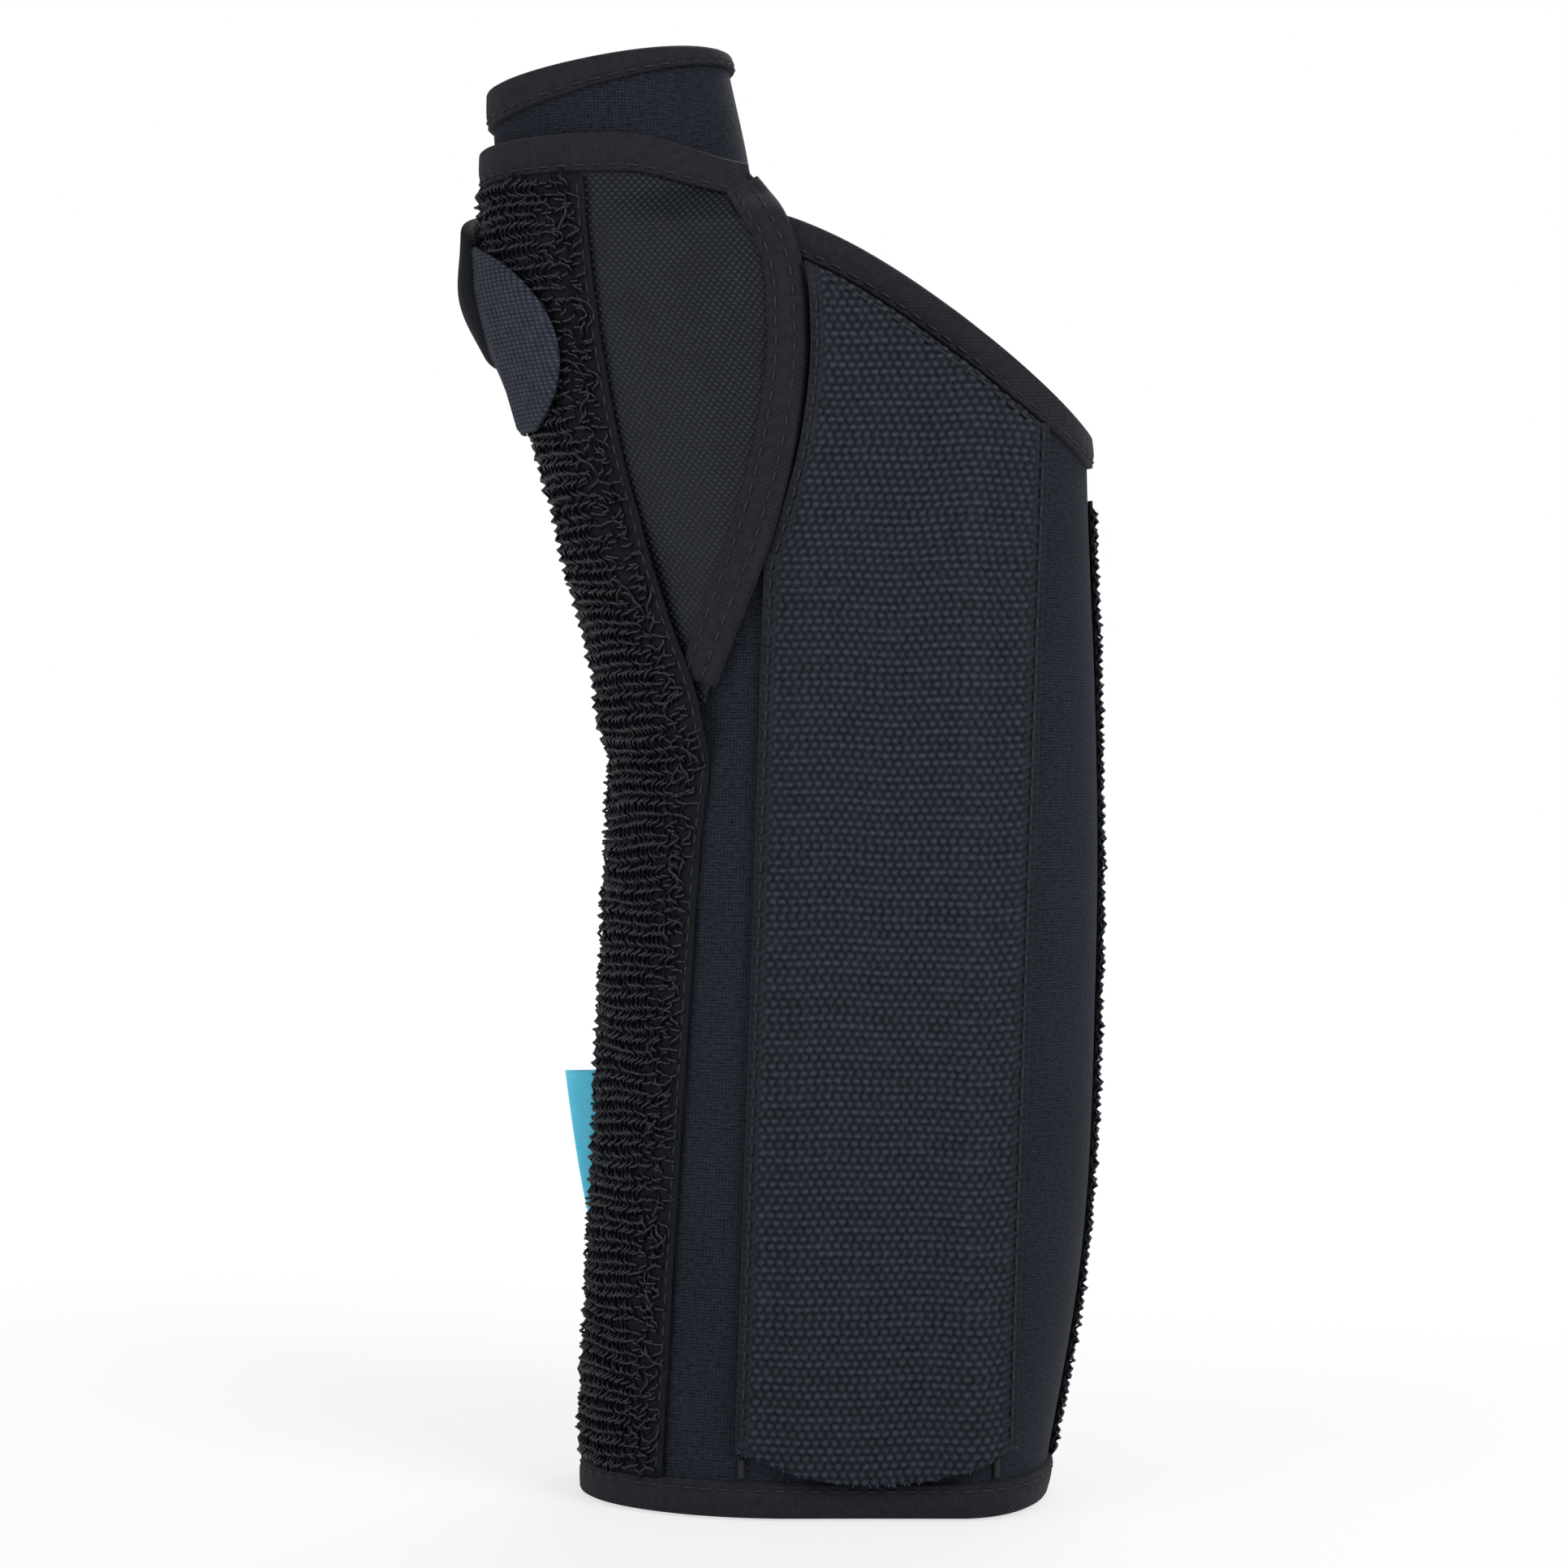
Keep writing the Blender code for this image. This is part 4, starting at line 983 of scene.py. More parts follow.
@dataclass(frozen=True)
class Twill(Finish):
    """Folded binding tape: a fine slanting twill in charcoal, a little warmer than the rest."""

    name: str = "binding_twill"
    dark: str = "#050507"
    light: str = "#302E38"
    rib_mm: float = 0.62
    thread_mm: float = 0.36

    def material(self) -> bpy.types.Material:
        """The finish as a material."""
        made, tree, cloth = self.start()
        slant = {"Vector": cloth, "Rotation": (0, 0, math.radians(52))}
        turned = add(tree, "Mapping", slant, "Vector")
        ribs = add(tree, "TexWave", {"Vector": turned, **waves(self.rib_mm, 0.8)}, "Fac")
        upright = {"Vector": cloth, **waves(self.thread_mm, 0.6)}
        threads = add(tree, "TexWave", upright, "Fac", bands_direction="X")
        cloud = add(tree, "TexNoise", {"Vector": cloth, "Scale": 700.0, "Detail": 5.0}, "Fac")
        weave = total(tree, 0.0, (ribs, threads))
        tone = total(tree, 0.0, (weave, 0.5), (cloud, 0.6))
        self.close(tree, tone, tone, (0.16, 0.7), {
            "Roughness": 0.75,
            "Specular IOR Level": 0.14,
            "Sheen Weight": 0.04,
            "Sheen Roughness": 0.5,
        })
        return made


@dataclass(frozen=True)
class Yarn(Finish):
    """Plain thread: a twisted strand whose fibres catch a little light."""

    name: str = "thread"
    dark: str = "#0E0F12"
    light: str = "#25272D"
    roughness: float = 0.6

    def material(self) -> bpy.types.Material:
        """The finish as a material."""
        made, tree, _ = self.start()
        place = add(tree, "TexCoord", {}, "Object")
        twist = add(tree, "TexNoise", {"Vector": place, "Scale": 1500.0, "Detail": 3.0}, "Fac")
        sockets = {"Roughness": self.roughness, "Specular IOR Level": 0.32}
        self.close(tree, twist, twist, (0.06, 0.5), sockets)
        return made


@dataclass(frozen=True)
class FlatTape(Finish):
    """The woven ground of hook and loop tape, and the backing of a hook tab: fine grain."""

    name: str = "tape_ground"
    dark: str = "#0A0C10"
    light: str = "#1A1D24"
    grain_mm: float = 0.5

    def material(self) -> bpy.types.Material:
        """The finish as a material."""
        made, tree, cloth = self.start()
        across = {"Vector": cloth, **waves(self.grain_mm, 1.4, 2.0), "Detail Scale": 3.0}
        rows = add(tree, "TexWave", across, "Fac", bands_direction="Y")
        upright = {"Vector": cloth, **waves(self.grain_mm * 1.25, 1.6, 2.0), "Detail Scale": 3.0}
        columns = add(tree, "TexWave", upright, "Fac", bands_direction="X")
        grain = total(tree, 0.0, (rows, columns))
        cloud = add(tree, "TexNoise", {"Vector": cloth, "Scale": 420.0, "Detail": 3.0}, "Fac")
        tone = total(tree, 0.0, (grain, 0.7), (cloud, 0.4))
        sockets = {"Roughness": 0.72, "Specular IOR Level": 0.14}
        self.close(tree, tone, grain, (0.1, 0.7), sockets)
        return made


@dataclass(frozen=True)
class Ribbon(Finish):
    """Satin label ribbon: bright blue with a fine cross rib and a silky sheen."""

    name: str = "satin_ribbon"
    dark: str = "#1CC2F6"
    light: str = "#7FEBFF"
    rib_mm: float = 0.42

    def material(self) -> bpy.types.Material:
        """The finish as a material."""
        made, tree, cloth = self.start()
        lines = {"Vector": cloth, **waves(self.rib_mm, 0.5)}
        ribs = add(tree, "TexWave", lines, "Fac", bands_direction="Y")
        cloud = add(tree, "TexNoise", {"Vector": cloth, "Scale": 150.0, "Detail": 3.0}, "Fac")
        tone = total(tree, 0.0, (ribs, 0.4), (cloud, 0.7))
        self.close(tree, tone, ribs, (0.05, 0.5), {"Roughness": 0.45, "Sheen Weight": 0.2})
        return made


@dataclass(frozen=True)
class RolledStrip(Finish):
    """Rolled metal strip: lengthwise rolling lines over a satin surface."""

    name: str = "rolled_aluminium"
    dark: str = "#A9ABAF"
    light: str = "#D2D4D8"
    roughness: float = 0.36

    def material(self) -> bpy.types.Material:
        """The finish as a material."""
        made, tree, _ = self.start()
        place = add(tree, "TexCoord", {}, "Object")
        long = add(tree, "Mapping", {"Vector": place, "Scale": (3000.0, 3000.0, 25.0)}, "Vector")
        lines = add(tree, "TexNoise", {"Vector": long, "Scale": 1.0, "Detail": 4.0}, "Fac")
        stains = add(tree, "TexNoise", {"Vector": place, "Scale": 60.0, "Detail": 3.0}, "Fac")
        low, high = self.roughness - 0.06, self.roughness + 0.1
        rough = add(tree, "MapRange", {"Value": stains, "To Min": low, "To Max": high}, "Result")
        tree.links.new(rough, tree.nodes["Principled BSDF"].inputs["Roughness"])
        self.close(tree, lines, lines, (0.02, 0.4), {"Metallic": 1.0})
        return made


class Cloths(Enum):
    """The guard's finishes, each with the record's slot that it belongs to."""

    NEOPRENE = (Jersey(), "neoprene")
    STRAP = (Jersey(name="strap_neoprene", dark="#0B0C10", light="#1E1F26"), "neoprene")
    NYLON = (DashWeave(), "woven_nylon")
    BINDING = (Twill(), "edge_binding")
    WEBBING = (HeavyWeave(), "webbing")
    FRAY = (Yarn(name="frayed_yarn", dark="#262B36", light="#4A5162"), "webbing")
    POCKET = (
        FlatTape(name="pocket_cloth", dark="#12151D", light="#2A2F3B", grain_mm=0.7),
        "webbing",
    )
    PILE = (Yarn(name="loop_yarn", dark="#060709", light="#22262E", roughness=0.34), "loop_pile")
    GROUND = (FlatTape(dark="#08090C", light="#191C22"), "loop_pile")
    HOOKS = (
        Yarn(name="hook_monofilament", dark="#15171B", light="#2B2E35", roughness=0.4),
        "hook_tape",
    )
    HOOK_GROUND = (FlatTape(name="hook_ground"), "hook_tape")
    TAB = (
        FlatTape(name="hook_tab_back", dark="#0F1116", light="#464B5A", grain_mm=0.75),
        "hook_tape",
    )
    THREAD = (Yarn(), "thread")
    RIBBON = (Ribbon(), "label_ribbon")
    ALUMINIUM = (RolledStrip(), "stay_aluminium")
    STEEL = (
        RolledStrip(name="spring_steel", dark="#6B6E73", light="#9A9DA3", roughness=0.3),
        "stay_spring_steel",
    )

    @property
    def finish(self) -> Any:
        """The finish."""
        return self.value[0]

    @property
    def slot(self) -> str:
        """The record's slot."""
        return self.value[1]


_MADE: dict[str, bpy.types.Material] = {}


def material(cloth: Cloths) -> bpy.types.Material:
    """The finish's material, made once."""
    if cloth.name not in _MADE:
        _MADE[cloth.name] = cloth.finish.material()
    return _MADE[cloth.name]


def dress(
    piece: bpy.types.Object,
    cloth: Cloths,
    body: str,
    nodes: tuple[str, ...] = (),
    fold: Fold = None,
) -> bpy.types.Object:
    """Gives a piece its finish and, unless it folds, its body, and hides the solids that it stands
    for.

    Args:
        piece: the object.
        cloth: its finish.
        body: the body that it moves with; not used for a piece that folds.
        nodes: the CAD nodes that it replaces.
        fold: for cloth that bends at a joint, the two bodies, and where the bend starts and ends.
            Only whether it is given is used: such a piece has its transform baked and gets no body.

    Returns:
        The piece.
    """
    piece.data.materials.clear()
    piece.data.materials.append(material(cloth))
    if fold:
        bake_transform(piece)
    else:
        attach(piece, body)
    if nodes:
        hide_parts(*nodes)
    count = sum(len(p.vertices) - 2 for p in piece.data.polygons)
    LOG.info("%s: %d triangles, %s", piece.name, count, cloth.finish.name)
    return piece


# ------------------------------------------------------------------ the sub-assemblies


def sew(seam: Seam, body: str = "sleeve", fold: Fold = None) -> None:
    """Makes a row of stitches and gives it its thread."""
    dress(seam.build(), Cloths.THREAD, body, (), fold)


def bind(binding: Binding, node: str, body: str = "sleeve", fold: Fold = None) -> None:
    """Makes a binding with its rows of stitches, and dresses them all."""
    edge, *seams = binding.build()
    dress(edge, Cloths.BINDING, body, (node,), fold)
    for seam in seams:
        dress(seam, Cloths.THREAD, body, (), fold)


def shares(rows: int, columns: int) -> tuple[Array, Array]:
    """The shares of the way up and across a grid: one column, and one row."""
    return np.linspace(0.0, 1.0, rows)[:, None], np.linspace(0.0, 1.0, columns)[None, :]


def grid_uv(u: Array, z: Array) -> Array:
    """Cloth coordinates in metres for a grid of (u, z)."""
    return np.stack(np.broadcast_arrays(u, z), -1) * MM


def cloth_sheet(
    name: str,
    u: Array,
    z: Array,
    under: Depth,
    over: Depth,
    skin: Skin = SKIN,
    ring: bool = False,
    relief: Optional[Array] = None,
    step: int = 1,
    crest: Optional[Array] = None,
) -> bpy.types.Object:
    """A sheet laid on the skin, from under(u, z) to over(u, z) + relief."""
    outer = over(u, z) + (0.0 if relief is None else relief)
    small_u, small_z = u[::step, ::step], z[::step, ::step]
    return shell(
        name,
        skin.place(u, z, outer),
        skin.place(small_u, small_z, under(small_u, small_z)),
        grid_uv(u, z),
        ring,
        step,
        crest,
    )


@dataclass
class Body:
    """The main sleeve of neoprene and the bindings round its cuff, palm edge and free edge."""

    columns: int = 300
    rows: int = 150

    def outline(self, share: Array) -> Array:
        """Height of the sheet's upper edge, for each share of the way from free edge to fold."""
        free = -SKIN.palm_u(BODY_FREE_X, WRIST_Z) / SKIN.half(WRIST_Z)
        root = 2 - SKIN.palm_u(FLAP_ROOT_X + GAP / 2, WRIST_Z) / SKIN.half(WRIST_Z)
        turned = free + (root - free) * share
        turned = np.abs(turned)
        turned = np.where(turned > 1, 2 - turned, turned)
        u, z = palm_edge_at(turned)
        x = SKIN.x(u, z)
        notch = 0.5 * (THUMB_LEFT + THUMB_RIGHT) + 14.5
        slope = (WEB_Z - SEAM_Z) / (THUMB_RIGHT + 8.0 - notch)
        seam = SEAM_Z - GAP + np.maximum(0.0, slope * (SKIN.x(u, np.full_like(u, SEAM_Z)) - notch))
        return np.minimum(np.where(x > notch, z, SEAM_Z), seam) - EDGE

    def across(self, share: Array, z: Array) -> Array:
        """u at each share of the way from the free edge, over the palm, to the fold."""
        first = SKIN.back_u(BODY_FREE_X, z)
        last = SKIN.round_u(FLAP_ROOT_X + GAP / 2, z)
        return first + (last - first) * share

    def build(self) -> None:
        """Makes the sleeve and its bindings."""
        share = np.linspace(0.0, 1.0, self.columns)[None, :]
        tops = self.outline(share[0])
        up = np.linspace(0.0, 1.0, self.rows)[:, None]
        z = EDGE + (tops[None, :] - EDGE) * up
        u = self.across(np.broadcast_to(share, z.shape), z)
        slack = 0.16 * np.sin(z / 17.0 + u / 31.0) * np.sin(z / 41.0 - u / 23.0)
        sheet = cloth_sheet("body_shell", u, z, level(-NEOPRENE), level(0.0), relief=slack - 0.1)
        dress(sheet, Cloths.NEOPRENE, "sleeve", ("body_panel",))

        under, over = level(-NEOPRENE), level(0.0)
        cuff_z = np.full(self.columns, EDGE)
        cuff = Binding(
            "cuff_edge", self.across(share[0], cuff_z), cuff_z, 1, under, over, cut="upright"
        )
        bind(cuff, "cuff_binding")
        rim_u = self.across(share[0], tops)
        x = SKIN.x(rim_u, tops)
        on_palm = (rim_u > SKIN.half(tops)) | (
            (rim_u > 0) & (x > PANEL_EDGE.at(tops) - 1.6)
        )
        palm = Binding(
            "palm_edge", rim_u[on_palm], tops[on_palm], -1, under, over,
            anchor=palm_anchor, cut="upright",
        )
        bind(palm, "palm_edge_binding")
        free_z = np.linspace(EDGE + BINDING_WIDTH + GAP, tops[0] - BINDING_WIDTH - 2 * GAP, 200)
        free = Binding(
            "free_edge", self.across(np.zeros(200), free_z), free_z, -1, under, over, cut="level"
        )
        bind(free, "body_edge_binding")


@dataclass
class Thumb:
    """The thumb's short sleeve, the woven panel that rises over the sewn-in stay, and their
    bindings.
    """

    around: int = 200
    rows: int = 60
    back: float = -24.0
    low: float = WRIST_Z - 2.5
    high: float = PANEL_TOP_Z - EDGE

    def build(self) -> None:
        """Makes every piece at the thumb."""
        self.sleeve()
        self.panel()
        self.web()

    def sleeve(self) -> None:
        """The ring of neoprene and the binding at its rim."""
        share = np.linspace(0.0, 1.0, self.around + 1)[None, :]
        around = np.cos(2 * math.pi * share)
        rim = THUMB_TOP_Z - THUMB_TOP_DROP * (1 + around) / 2 + 1.0 - 2.0 * around
        up = np.linspace(0.0, 1.0, self.rows)[:, None]
        z = SEAM_Z + (rim - SEAM_Z) * up
        u = share * 2 * THUMB_SKIN.half(z)
        turn = 2 * math.pi * share
        slack = 0.22 * np.sin(z / 6.0 + 3 * np.sin(turn)) * np.sin(4 * math.pi * share)
        under, over = level(-NEOPRENE), level(0.0)
        sheet = cloth_sheet(
            "thumb_tube", u, z, under, over, THUMB_SKIN, ring=True, relief=slack - 0.15
        )
        dress(sheet, Cloths.NEOPRENE, "sleeve", ("thumb_sleeve",))
        edge = Binding(
            "thumb_rim", u[-1], z[-1], -1, under, over, THUMB_SKIN, closed=True,
            taper=lambda a, b: 0.78 + 0.38 * np.cos(math.pi * a / THUMB_SKIN.half(b)),
        )
        bind(edge, "thumb_sleeve_binding")

    def panel_left(self, z: Array) -> Array:
        """u of the panel's hidden edge: under the tape low down, and round the back higher up."""
        start = SKIN.palm_u(TAPE_EDGE.at(z) + 1.0, z) - 7.0
        share = smooth((z - self.low - 4.0) / (SEAM_Z - 18.0 - self.low))
        return start + (self.back - start) * share

    def panel_right(self, z: Array) -> Array:
        """u of the panel's bound edge."""
        return SKIN.palm_u(PANEL_EDGE.at(z) - EDGE, z)

    def under(self, u: Array, z: Array) -> Array:
        """Depth of the panel's inner face."""
        return LOOSE + thumb_bump(u, z)

    def over(self, u: Array, z: Array) -> Array:
        """Depth of the panel's outer face."""
        return LOOSE + PANEL + thumb_bump(u, z)

    def panel(self) -> None:
        """The woven panel and its two bindings."""
        share = np.linspace(0.0, 1.0, 190)[None, :]
        ends = self.panel_left(np.array(self.high)), self.panel_right(np.array(WEB_Z + 5.5))
        x_top = SKIN.x(ends[0] + (ends[1] - ends[0]) * share, np.full_like(share, self.high))
        facing = (ends[0] + (ends[1] - ends[0]) * share) > 0
        top = self.high - 5.0 * smooth((x_top + 29.0) / 26.0) * facing
        up = np.linspace(0.0, 1.0, 240)[:, None]
        z = self.low + (top - self.low) * up
        left, right = self.panel_left(z), self.panel_right(z)
        u = left + (right - left) * share
        floats = 0.05 * np.cos(2 * np.pi * z / 1.1) * np.cos(2 * np.pi * u / 1.9)
        sheet = cloth_sheet("thumb_cloth", u, z, self.under, self.over, relief=floats)
        dress(sheet, Cloths.NYLON, "sleeve", ("thumb_panel",))
        z_side = np.linspace(WRIST_Z + 1.0, WEB_Z + 5.2, 200)
        side = Binding(
            "panel_side", self.panel_right(z_side), z_side, 1, level(LOOSE), self.over,
            wraps=False, width=BINDING_WIDTH + 0.5, stitch_lines=(1.5, 4.4),
        )
        top_edge = Binding(
            "panel_top", u[-1], z[-1], -1, level(LOOSE), self.over, wraps=False,
            width=BINDING_WIDTH + 0.6, stitch_lines=(4.9,),
        )
        bind(side, "thumb_panel_side_binding")
        bind(top_edge, "thumb_panel_top_binding")

    def web(self) -> None:
        """The strip of binding over the web of the thumb, and the tube's seam, where it ends."""
        half = float(THUMB_SKIN.half(WEB_Z + 3.0))
        u = np.linspace(half - 14.0, half + 14.3, 60)[None, :]
        up = np.linspace(0.0, 1.0, 24)[:, None]
        z = WEB_Z - 0.2 + 5.8 * up - 2.0 * smooth((u - half - 2.0) / 14.0)
        crown = 0.5 * np.sqrt(np.clip(1 - (2 * up - 1) ** 4, 0, 1)) - 0.5 + 0.0 * u
        sheet = cloth_sheet(
            "web_strip", u + 0.0 * z, z, level(GAP), level(GAP + 1.4), THUMB_SKIN, relief=crown
        )
        dress(sheet, Cloths.BINDING, "sleeve", ("web_binding",))
        for k, at in enumerate((1.3, 4.5)):
            line = np.linspace(half - 13.0, half + 13.0, 40)
            z_line = WEB_Z - 0.2 + at - 2.0 * smooth((line - half - 2.0) / 14.0)
            depth = np.full(40, GAP + 1.3)
            sew(Seam(f"web_strip_stitches_{k + 1}", line, z_line, depth, THUMB_SKIN))
        z_seam = np.linspace(SEAM_Z + 1.5, THUMB_TOP_Z - 9.0, 120)
        rise = np.linspace(0.0, 1.0, 120)[:, None]
        z = SEAM_Z + 0.6 + (THUMB_TOP_Z - 8.0 - SEAM_Z) * rise
        across = np.linspace(-1.7, 1.7, 15)[None, :]
        u = THUMB_SKIN.half(z) + 15.0 + across
        crown = 0.5 * np.sqrt(np.clip(1 - (across / 1.75) ** 2, 0, 1)) - 0.5 + 0.0 * z
        tape = cloth_sheet(
            "thumb_seam_tape", u, z + 0.0 * u, level(0.02), level(0.75), THUMB_SKIN, relief=crown
        )
        dress(tape, Cloths.BINDING, "sleeve")
        for k, offset in enumerate((-0.85, 0.85)):
            at = THUMB_SKIN.half(z_seam) + 15.0 + offset
            depth = np.full(120, 0.55)
            sew(Seam(f"thumb_seam_stitches_{k + 1}", at, z_seam, depth, THUMB_SKIN))


@dataclass
class PalmPocket:
    """The wide webbing on the palm, sewn down both sides over its stay, open at the bottom."""

    bead_mm: float = 1.62
    row_mm: float = 1.36
    cell_mm: float = 0.42
    bead_height: float = 0.6
    selvage: float = 2.0

    def left_x(self, z: Array) -> Array:
        """x of the webbing's left edge."""
        share = z / (WEB_Z - WEBBING_BOTTOM_Z)
        straight = WEBBING_BOTTOM_X + (WEBBING_TOP_X - WEBBING_BOTTOM_X) * share
        return np.where(z > WRIST_Z, np.maximum(straight, PANEL_EDGE.at(z) + GAP), straight)

    def right_x(self, z: Array) -> Array:
        """x of the webbing's right edge."""
        share = z / (WEB_Z - WEBBING_BOTTOM_Z)
        return WEBBING_BOTTOM_X + (WEBBING_TOP_X - WEBBING_BOTTOM_X) * share + WEBBING_WIDTH - 1.6

    def rise(self, u: Array, z: Array) -> Array:
        """How much the webbing rises over the stay: a plateau with smooth sides."""
        stay_x = (FLAT_LEFT + FLAT_RIGHT) / 2 + 1.5
        flat = PALMAR_STAY_WIDTH / 2 + 0.6
        away = abs(u - SKIN.palm_u(stay_x, z)) - flat
        return (STAY_LIFT + PALMAR_STAY_THICK) * (1 - smooth(away / 7.4))

    def build(self, body: Body) -> None:
        """Makes the webbing, its stitches, the thread bars and the stay's finish.

        Args:
            body: the sleeve whose palm edge the webbing's top follows.
        """
        share_line = np.linspace(0.3, 0.75, 900)
        tops = body.outline(share_line)
        rim_u = body.across(share_line, tops)
        keep = (rim_u > 0) & (rim_u < SKIN.half(tops))
        path = Binding(
            "line", rim_u[keep], tops[keep], -1, level(0.0), level(0.0), anchor=palm_anchor
        )
        line_u, line_z = (v[:, 0] for v in path.offset(np.array([BINDING_WIDTH + 2 * GAP])))
        line_x = SKIN.x(line_u, line_z)
        order = np.argsort(line_x)

        rows = int(212.0 / self.cell_mm) // 4 * 4 + 1
        columns = int(WEBBING_WIDTH / self.cell_mm) // 4 * 4 + 1
        up, share = shares(rows, columns)
        x = np.broadcast_to(WEBBING_BOTTOM_X + (WEBBING_WIDTH - 1.6) * share, (rows, columns))
        low = WEBBING_BOTTOM_Z - WEBBING_ARC * (1 - (2 * share - 1) ** 2)
        for _ in range(8):
            top = np.minimum(np.interp(x, line_x[order], line_z[order]), WEB_Z - 2 * BINDING_WIDTH)
            z = low + (top - low) * up
            x = self.left_x(z) + (self.right_x(z) - self.left_x(z)) * share
        u = SKIN.palm_u(x, z)
        relief, crest = self.weave(x - self.left_x(z), self.right_x(z) - x, z)
        hems = np.minimum(np.minimum(z - low, top - z), 3.0)
        droop = -0.25 * (1 - smooth(hems / 1.2))
        sheet = cloth_sheet(
            "palm_webbing",
            u,
            z,
            lambda a, b: GAP + self.rise(a, b),
            lambda a, b: GAP + 0.78 + self.rise(a, b),
            relief=relief + droop,
            step=4,
            crest=crest,
        )
        dress(sheet, Cloths.WEBBING, "sleeve", ("palm_pocket_webbing",))
        self.stitches(line_x[order], line_z[order])
        self.frays()
        self.bars()
        for node, cloth in (("palmar_stay", Cloths.ALUMINIUM), ("thumb_stay", Cloths.ALUMINIUM)):
            repaint(node, cloth)

    def weave(self, left: Array, right: Array, z: Array) -> tuple[Array, Array]:
        """Relief of the plain weave: an ellipsoid bead on each crossing, rows staggered.

        Args:
            left: distance from the left edge.
            right: distance from the right edge.
            z: height.

        Returns:
            The relief in millimetres, and the crest from 0 to 1.
        """
        z = z + 0.3 * np.sin(left / 8.0 + z / 31.0) + 0.12 * np.sin(left / 2.9)
        row = np.floor(z / self.row_mm)
        jitter = 0.10 * np.sin(row * 12.9898) * np.sin(row * 78.233)
        column = left / self.bead_mm + 0.5 * (row % 2) + jitter
        cell = np.floor(column)
        fx, fz = column - cell - 0.5, z / self.row_mm - row - 0.5
        uneven = 1.0 + 0.14 * np.sin(cell * 57.31 + row * 91.7) * np.sin(cell * 13.7 - row * 7.1)
        wide, tall = 0.455 * uneven, 0.5 * (2 - uneven)
        bead = np.sqrt(np.clip(1 - (fx / wide) ** 2 - (fz / tall) ** 2, 0, 1)) * uneven
        inside = smooth((np.minimum(left, right) - self.selvage) / 0.7)
        ribs = 0.5 + 0.5 * np.cos(2 * np.pi * np.minimum(left, right) / 0.95)
        ties = 0.5 + 0.5 * np.cos(2 * np.pi * z / self.row_mm + 2.2 * np.sin(left / 0.6))
        selvage = 0.55 * ribs + 0.45 * ties
        relief = bead * inside + 0.75 * selvage * (1 - inside)
        # The crest also colours the webbing: a painted highlight on bead tops and painted shade
        # between them.
        return relief * self.bead_height, np.clip(relief, 0, 1)

    def stitches(self, edge_x: Array, edge_z: Array) -> None:
        """The rows of stitches down both sides of the webbing and under its top edge."""
        for name, side in (("left", 1.15), ("right", -1.15)):
            edge = self.left_x if side > 0 else self.right_x
            x_end = float(edge(np.array(205.0))) + side
            top = min(float(np.interp(x_end, edge_x, edge_z)) - 1.0, 215.0)
            z = np.linspace(WEBBING_BOTTOM_Z + 1.5, top, 300)
            u = SKIN.palm_u(edge(z) + side, z)
            seam = Seam(f"webbing_stitches_{name}", u, z, GAP + 1.12 + self.rise(u, z))
            sew(seam)
        first = float(self.left_x(np.array(215.0))) + 2.0
        last = float(self.right_x(np.array(192.0))) - 2.0
        x = np.linspace(first, last, 200)
        z = np.minimum(np.interp(x, edge_x, edge_z), WEB_Z - 2 * BINDING_WIDTH) - 1.3
        u = SKIN.palm_u(x, z)
        seam = Seam("webbing_stitches_top", u, z, GAP + 1.15 + self.rise(u, z))
        sew(seam)

    def frays(self, count: int = 60) -> None:
        """Loose yarn ends along the cut lower edge: short strands that drift as they fall."""
        rng = np.random.default_rng(17)
        share = np.sort(rng.random(count))[:, None]
        fall = np.linspace(0.0, 1.0, 5)[None, :]
        low = WEBBING_BOTTOM_Z - WEBBING_ARC * (1 - (2 * share - 1) ** 2)
        z = low + 0.9 - (0.8 + 0.6 * rng.random((count, 1))) * fall
        x = self.left_x(z) + (self.right_x(z) - self.left_x(z)) * share
        x = x + 0.4 * rng.normal(size=(count, 1)) * fall**2
        u = SKIN.palm_u(x, z)
        depth = GAP + 0.55 + self.rise(u, z) + 0.3 * rng.random((count, 1)) * fall
        out = normals_on(SKIN, u[:, 2], z[:, 2])
        made = strands("webbing_frays", SKIN.place(u, z, depth), np.full(5, 0.11 * MM), out, 4)
        dress(made, Cloths.FRAY, "sleeve")

    def bars(self) -> None:
        """The two bars of dense zigzag thread under the webbing's lower corners."""
        places = (WEBBING_BOTTOM_X + 1.2, WEBBING_BOTTOM_X + WEBBING_WIDTH - 4.2)
        for side, x in zip(("left", "right"), places):
            turns = np.arange(11)
            z = WEBBING_BOTTOM_Z - 1.8 - turns * 0.28
            share = np.linspace(-1.0, 1.0, 6)
            u = SKIN.palm_u(x, z)[:, None] + 0.55 * share
            height = z[:, None] + 0.14 * share
            depth = 0.62 - 0.42 * share**4 + 0.0 * height
            paths = SKIN.place(u, height, depth)
            out = normals_on(SKIN, u[:, 3], z)
            bar = strands(f"thread_bar_{side}", paths, np.full(6, 0.2 * MM), out, 6)
            dress(bar, Cloths.THREAD, "sleeve", (f"pocket_bartack_{side}",))


def repaint(node: str, cloth: Cloths) -> None:
    """Gives a CAD node a finish in place of its plain one."""
    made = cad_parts[node]
    made.data.materials.clear()
    made.data.materials.append(material(cloth))


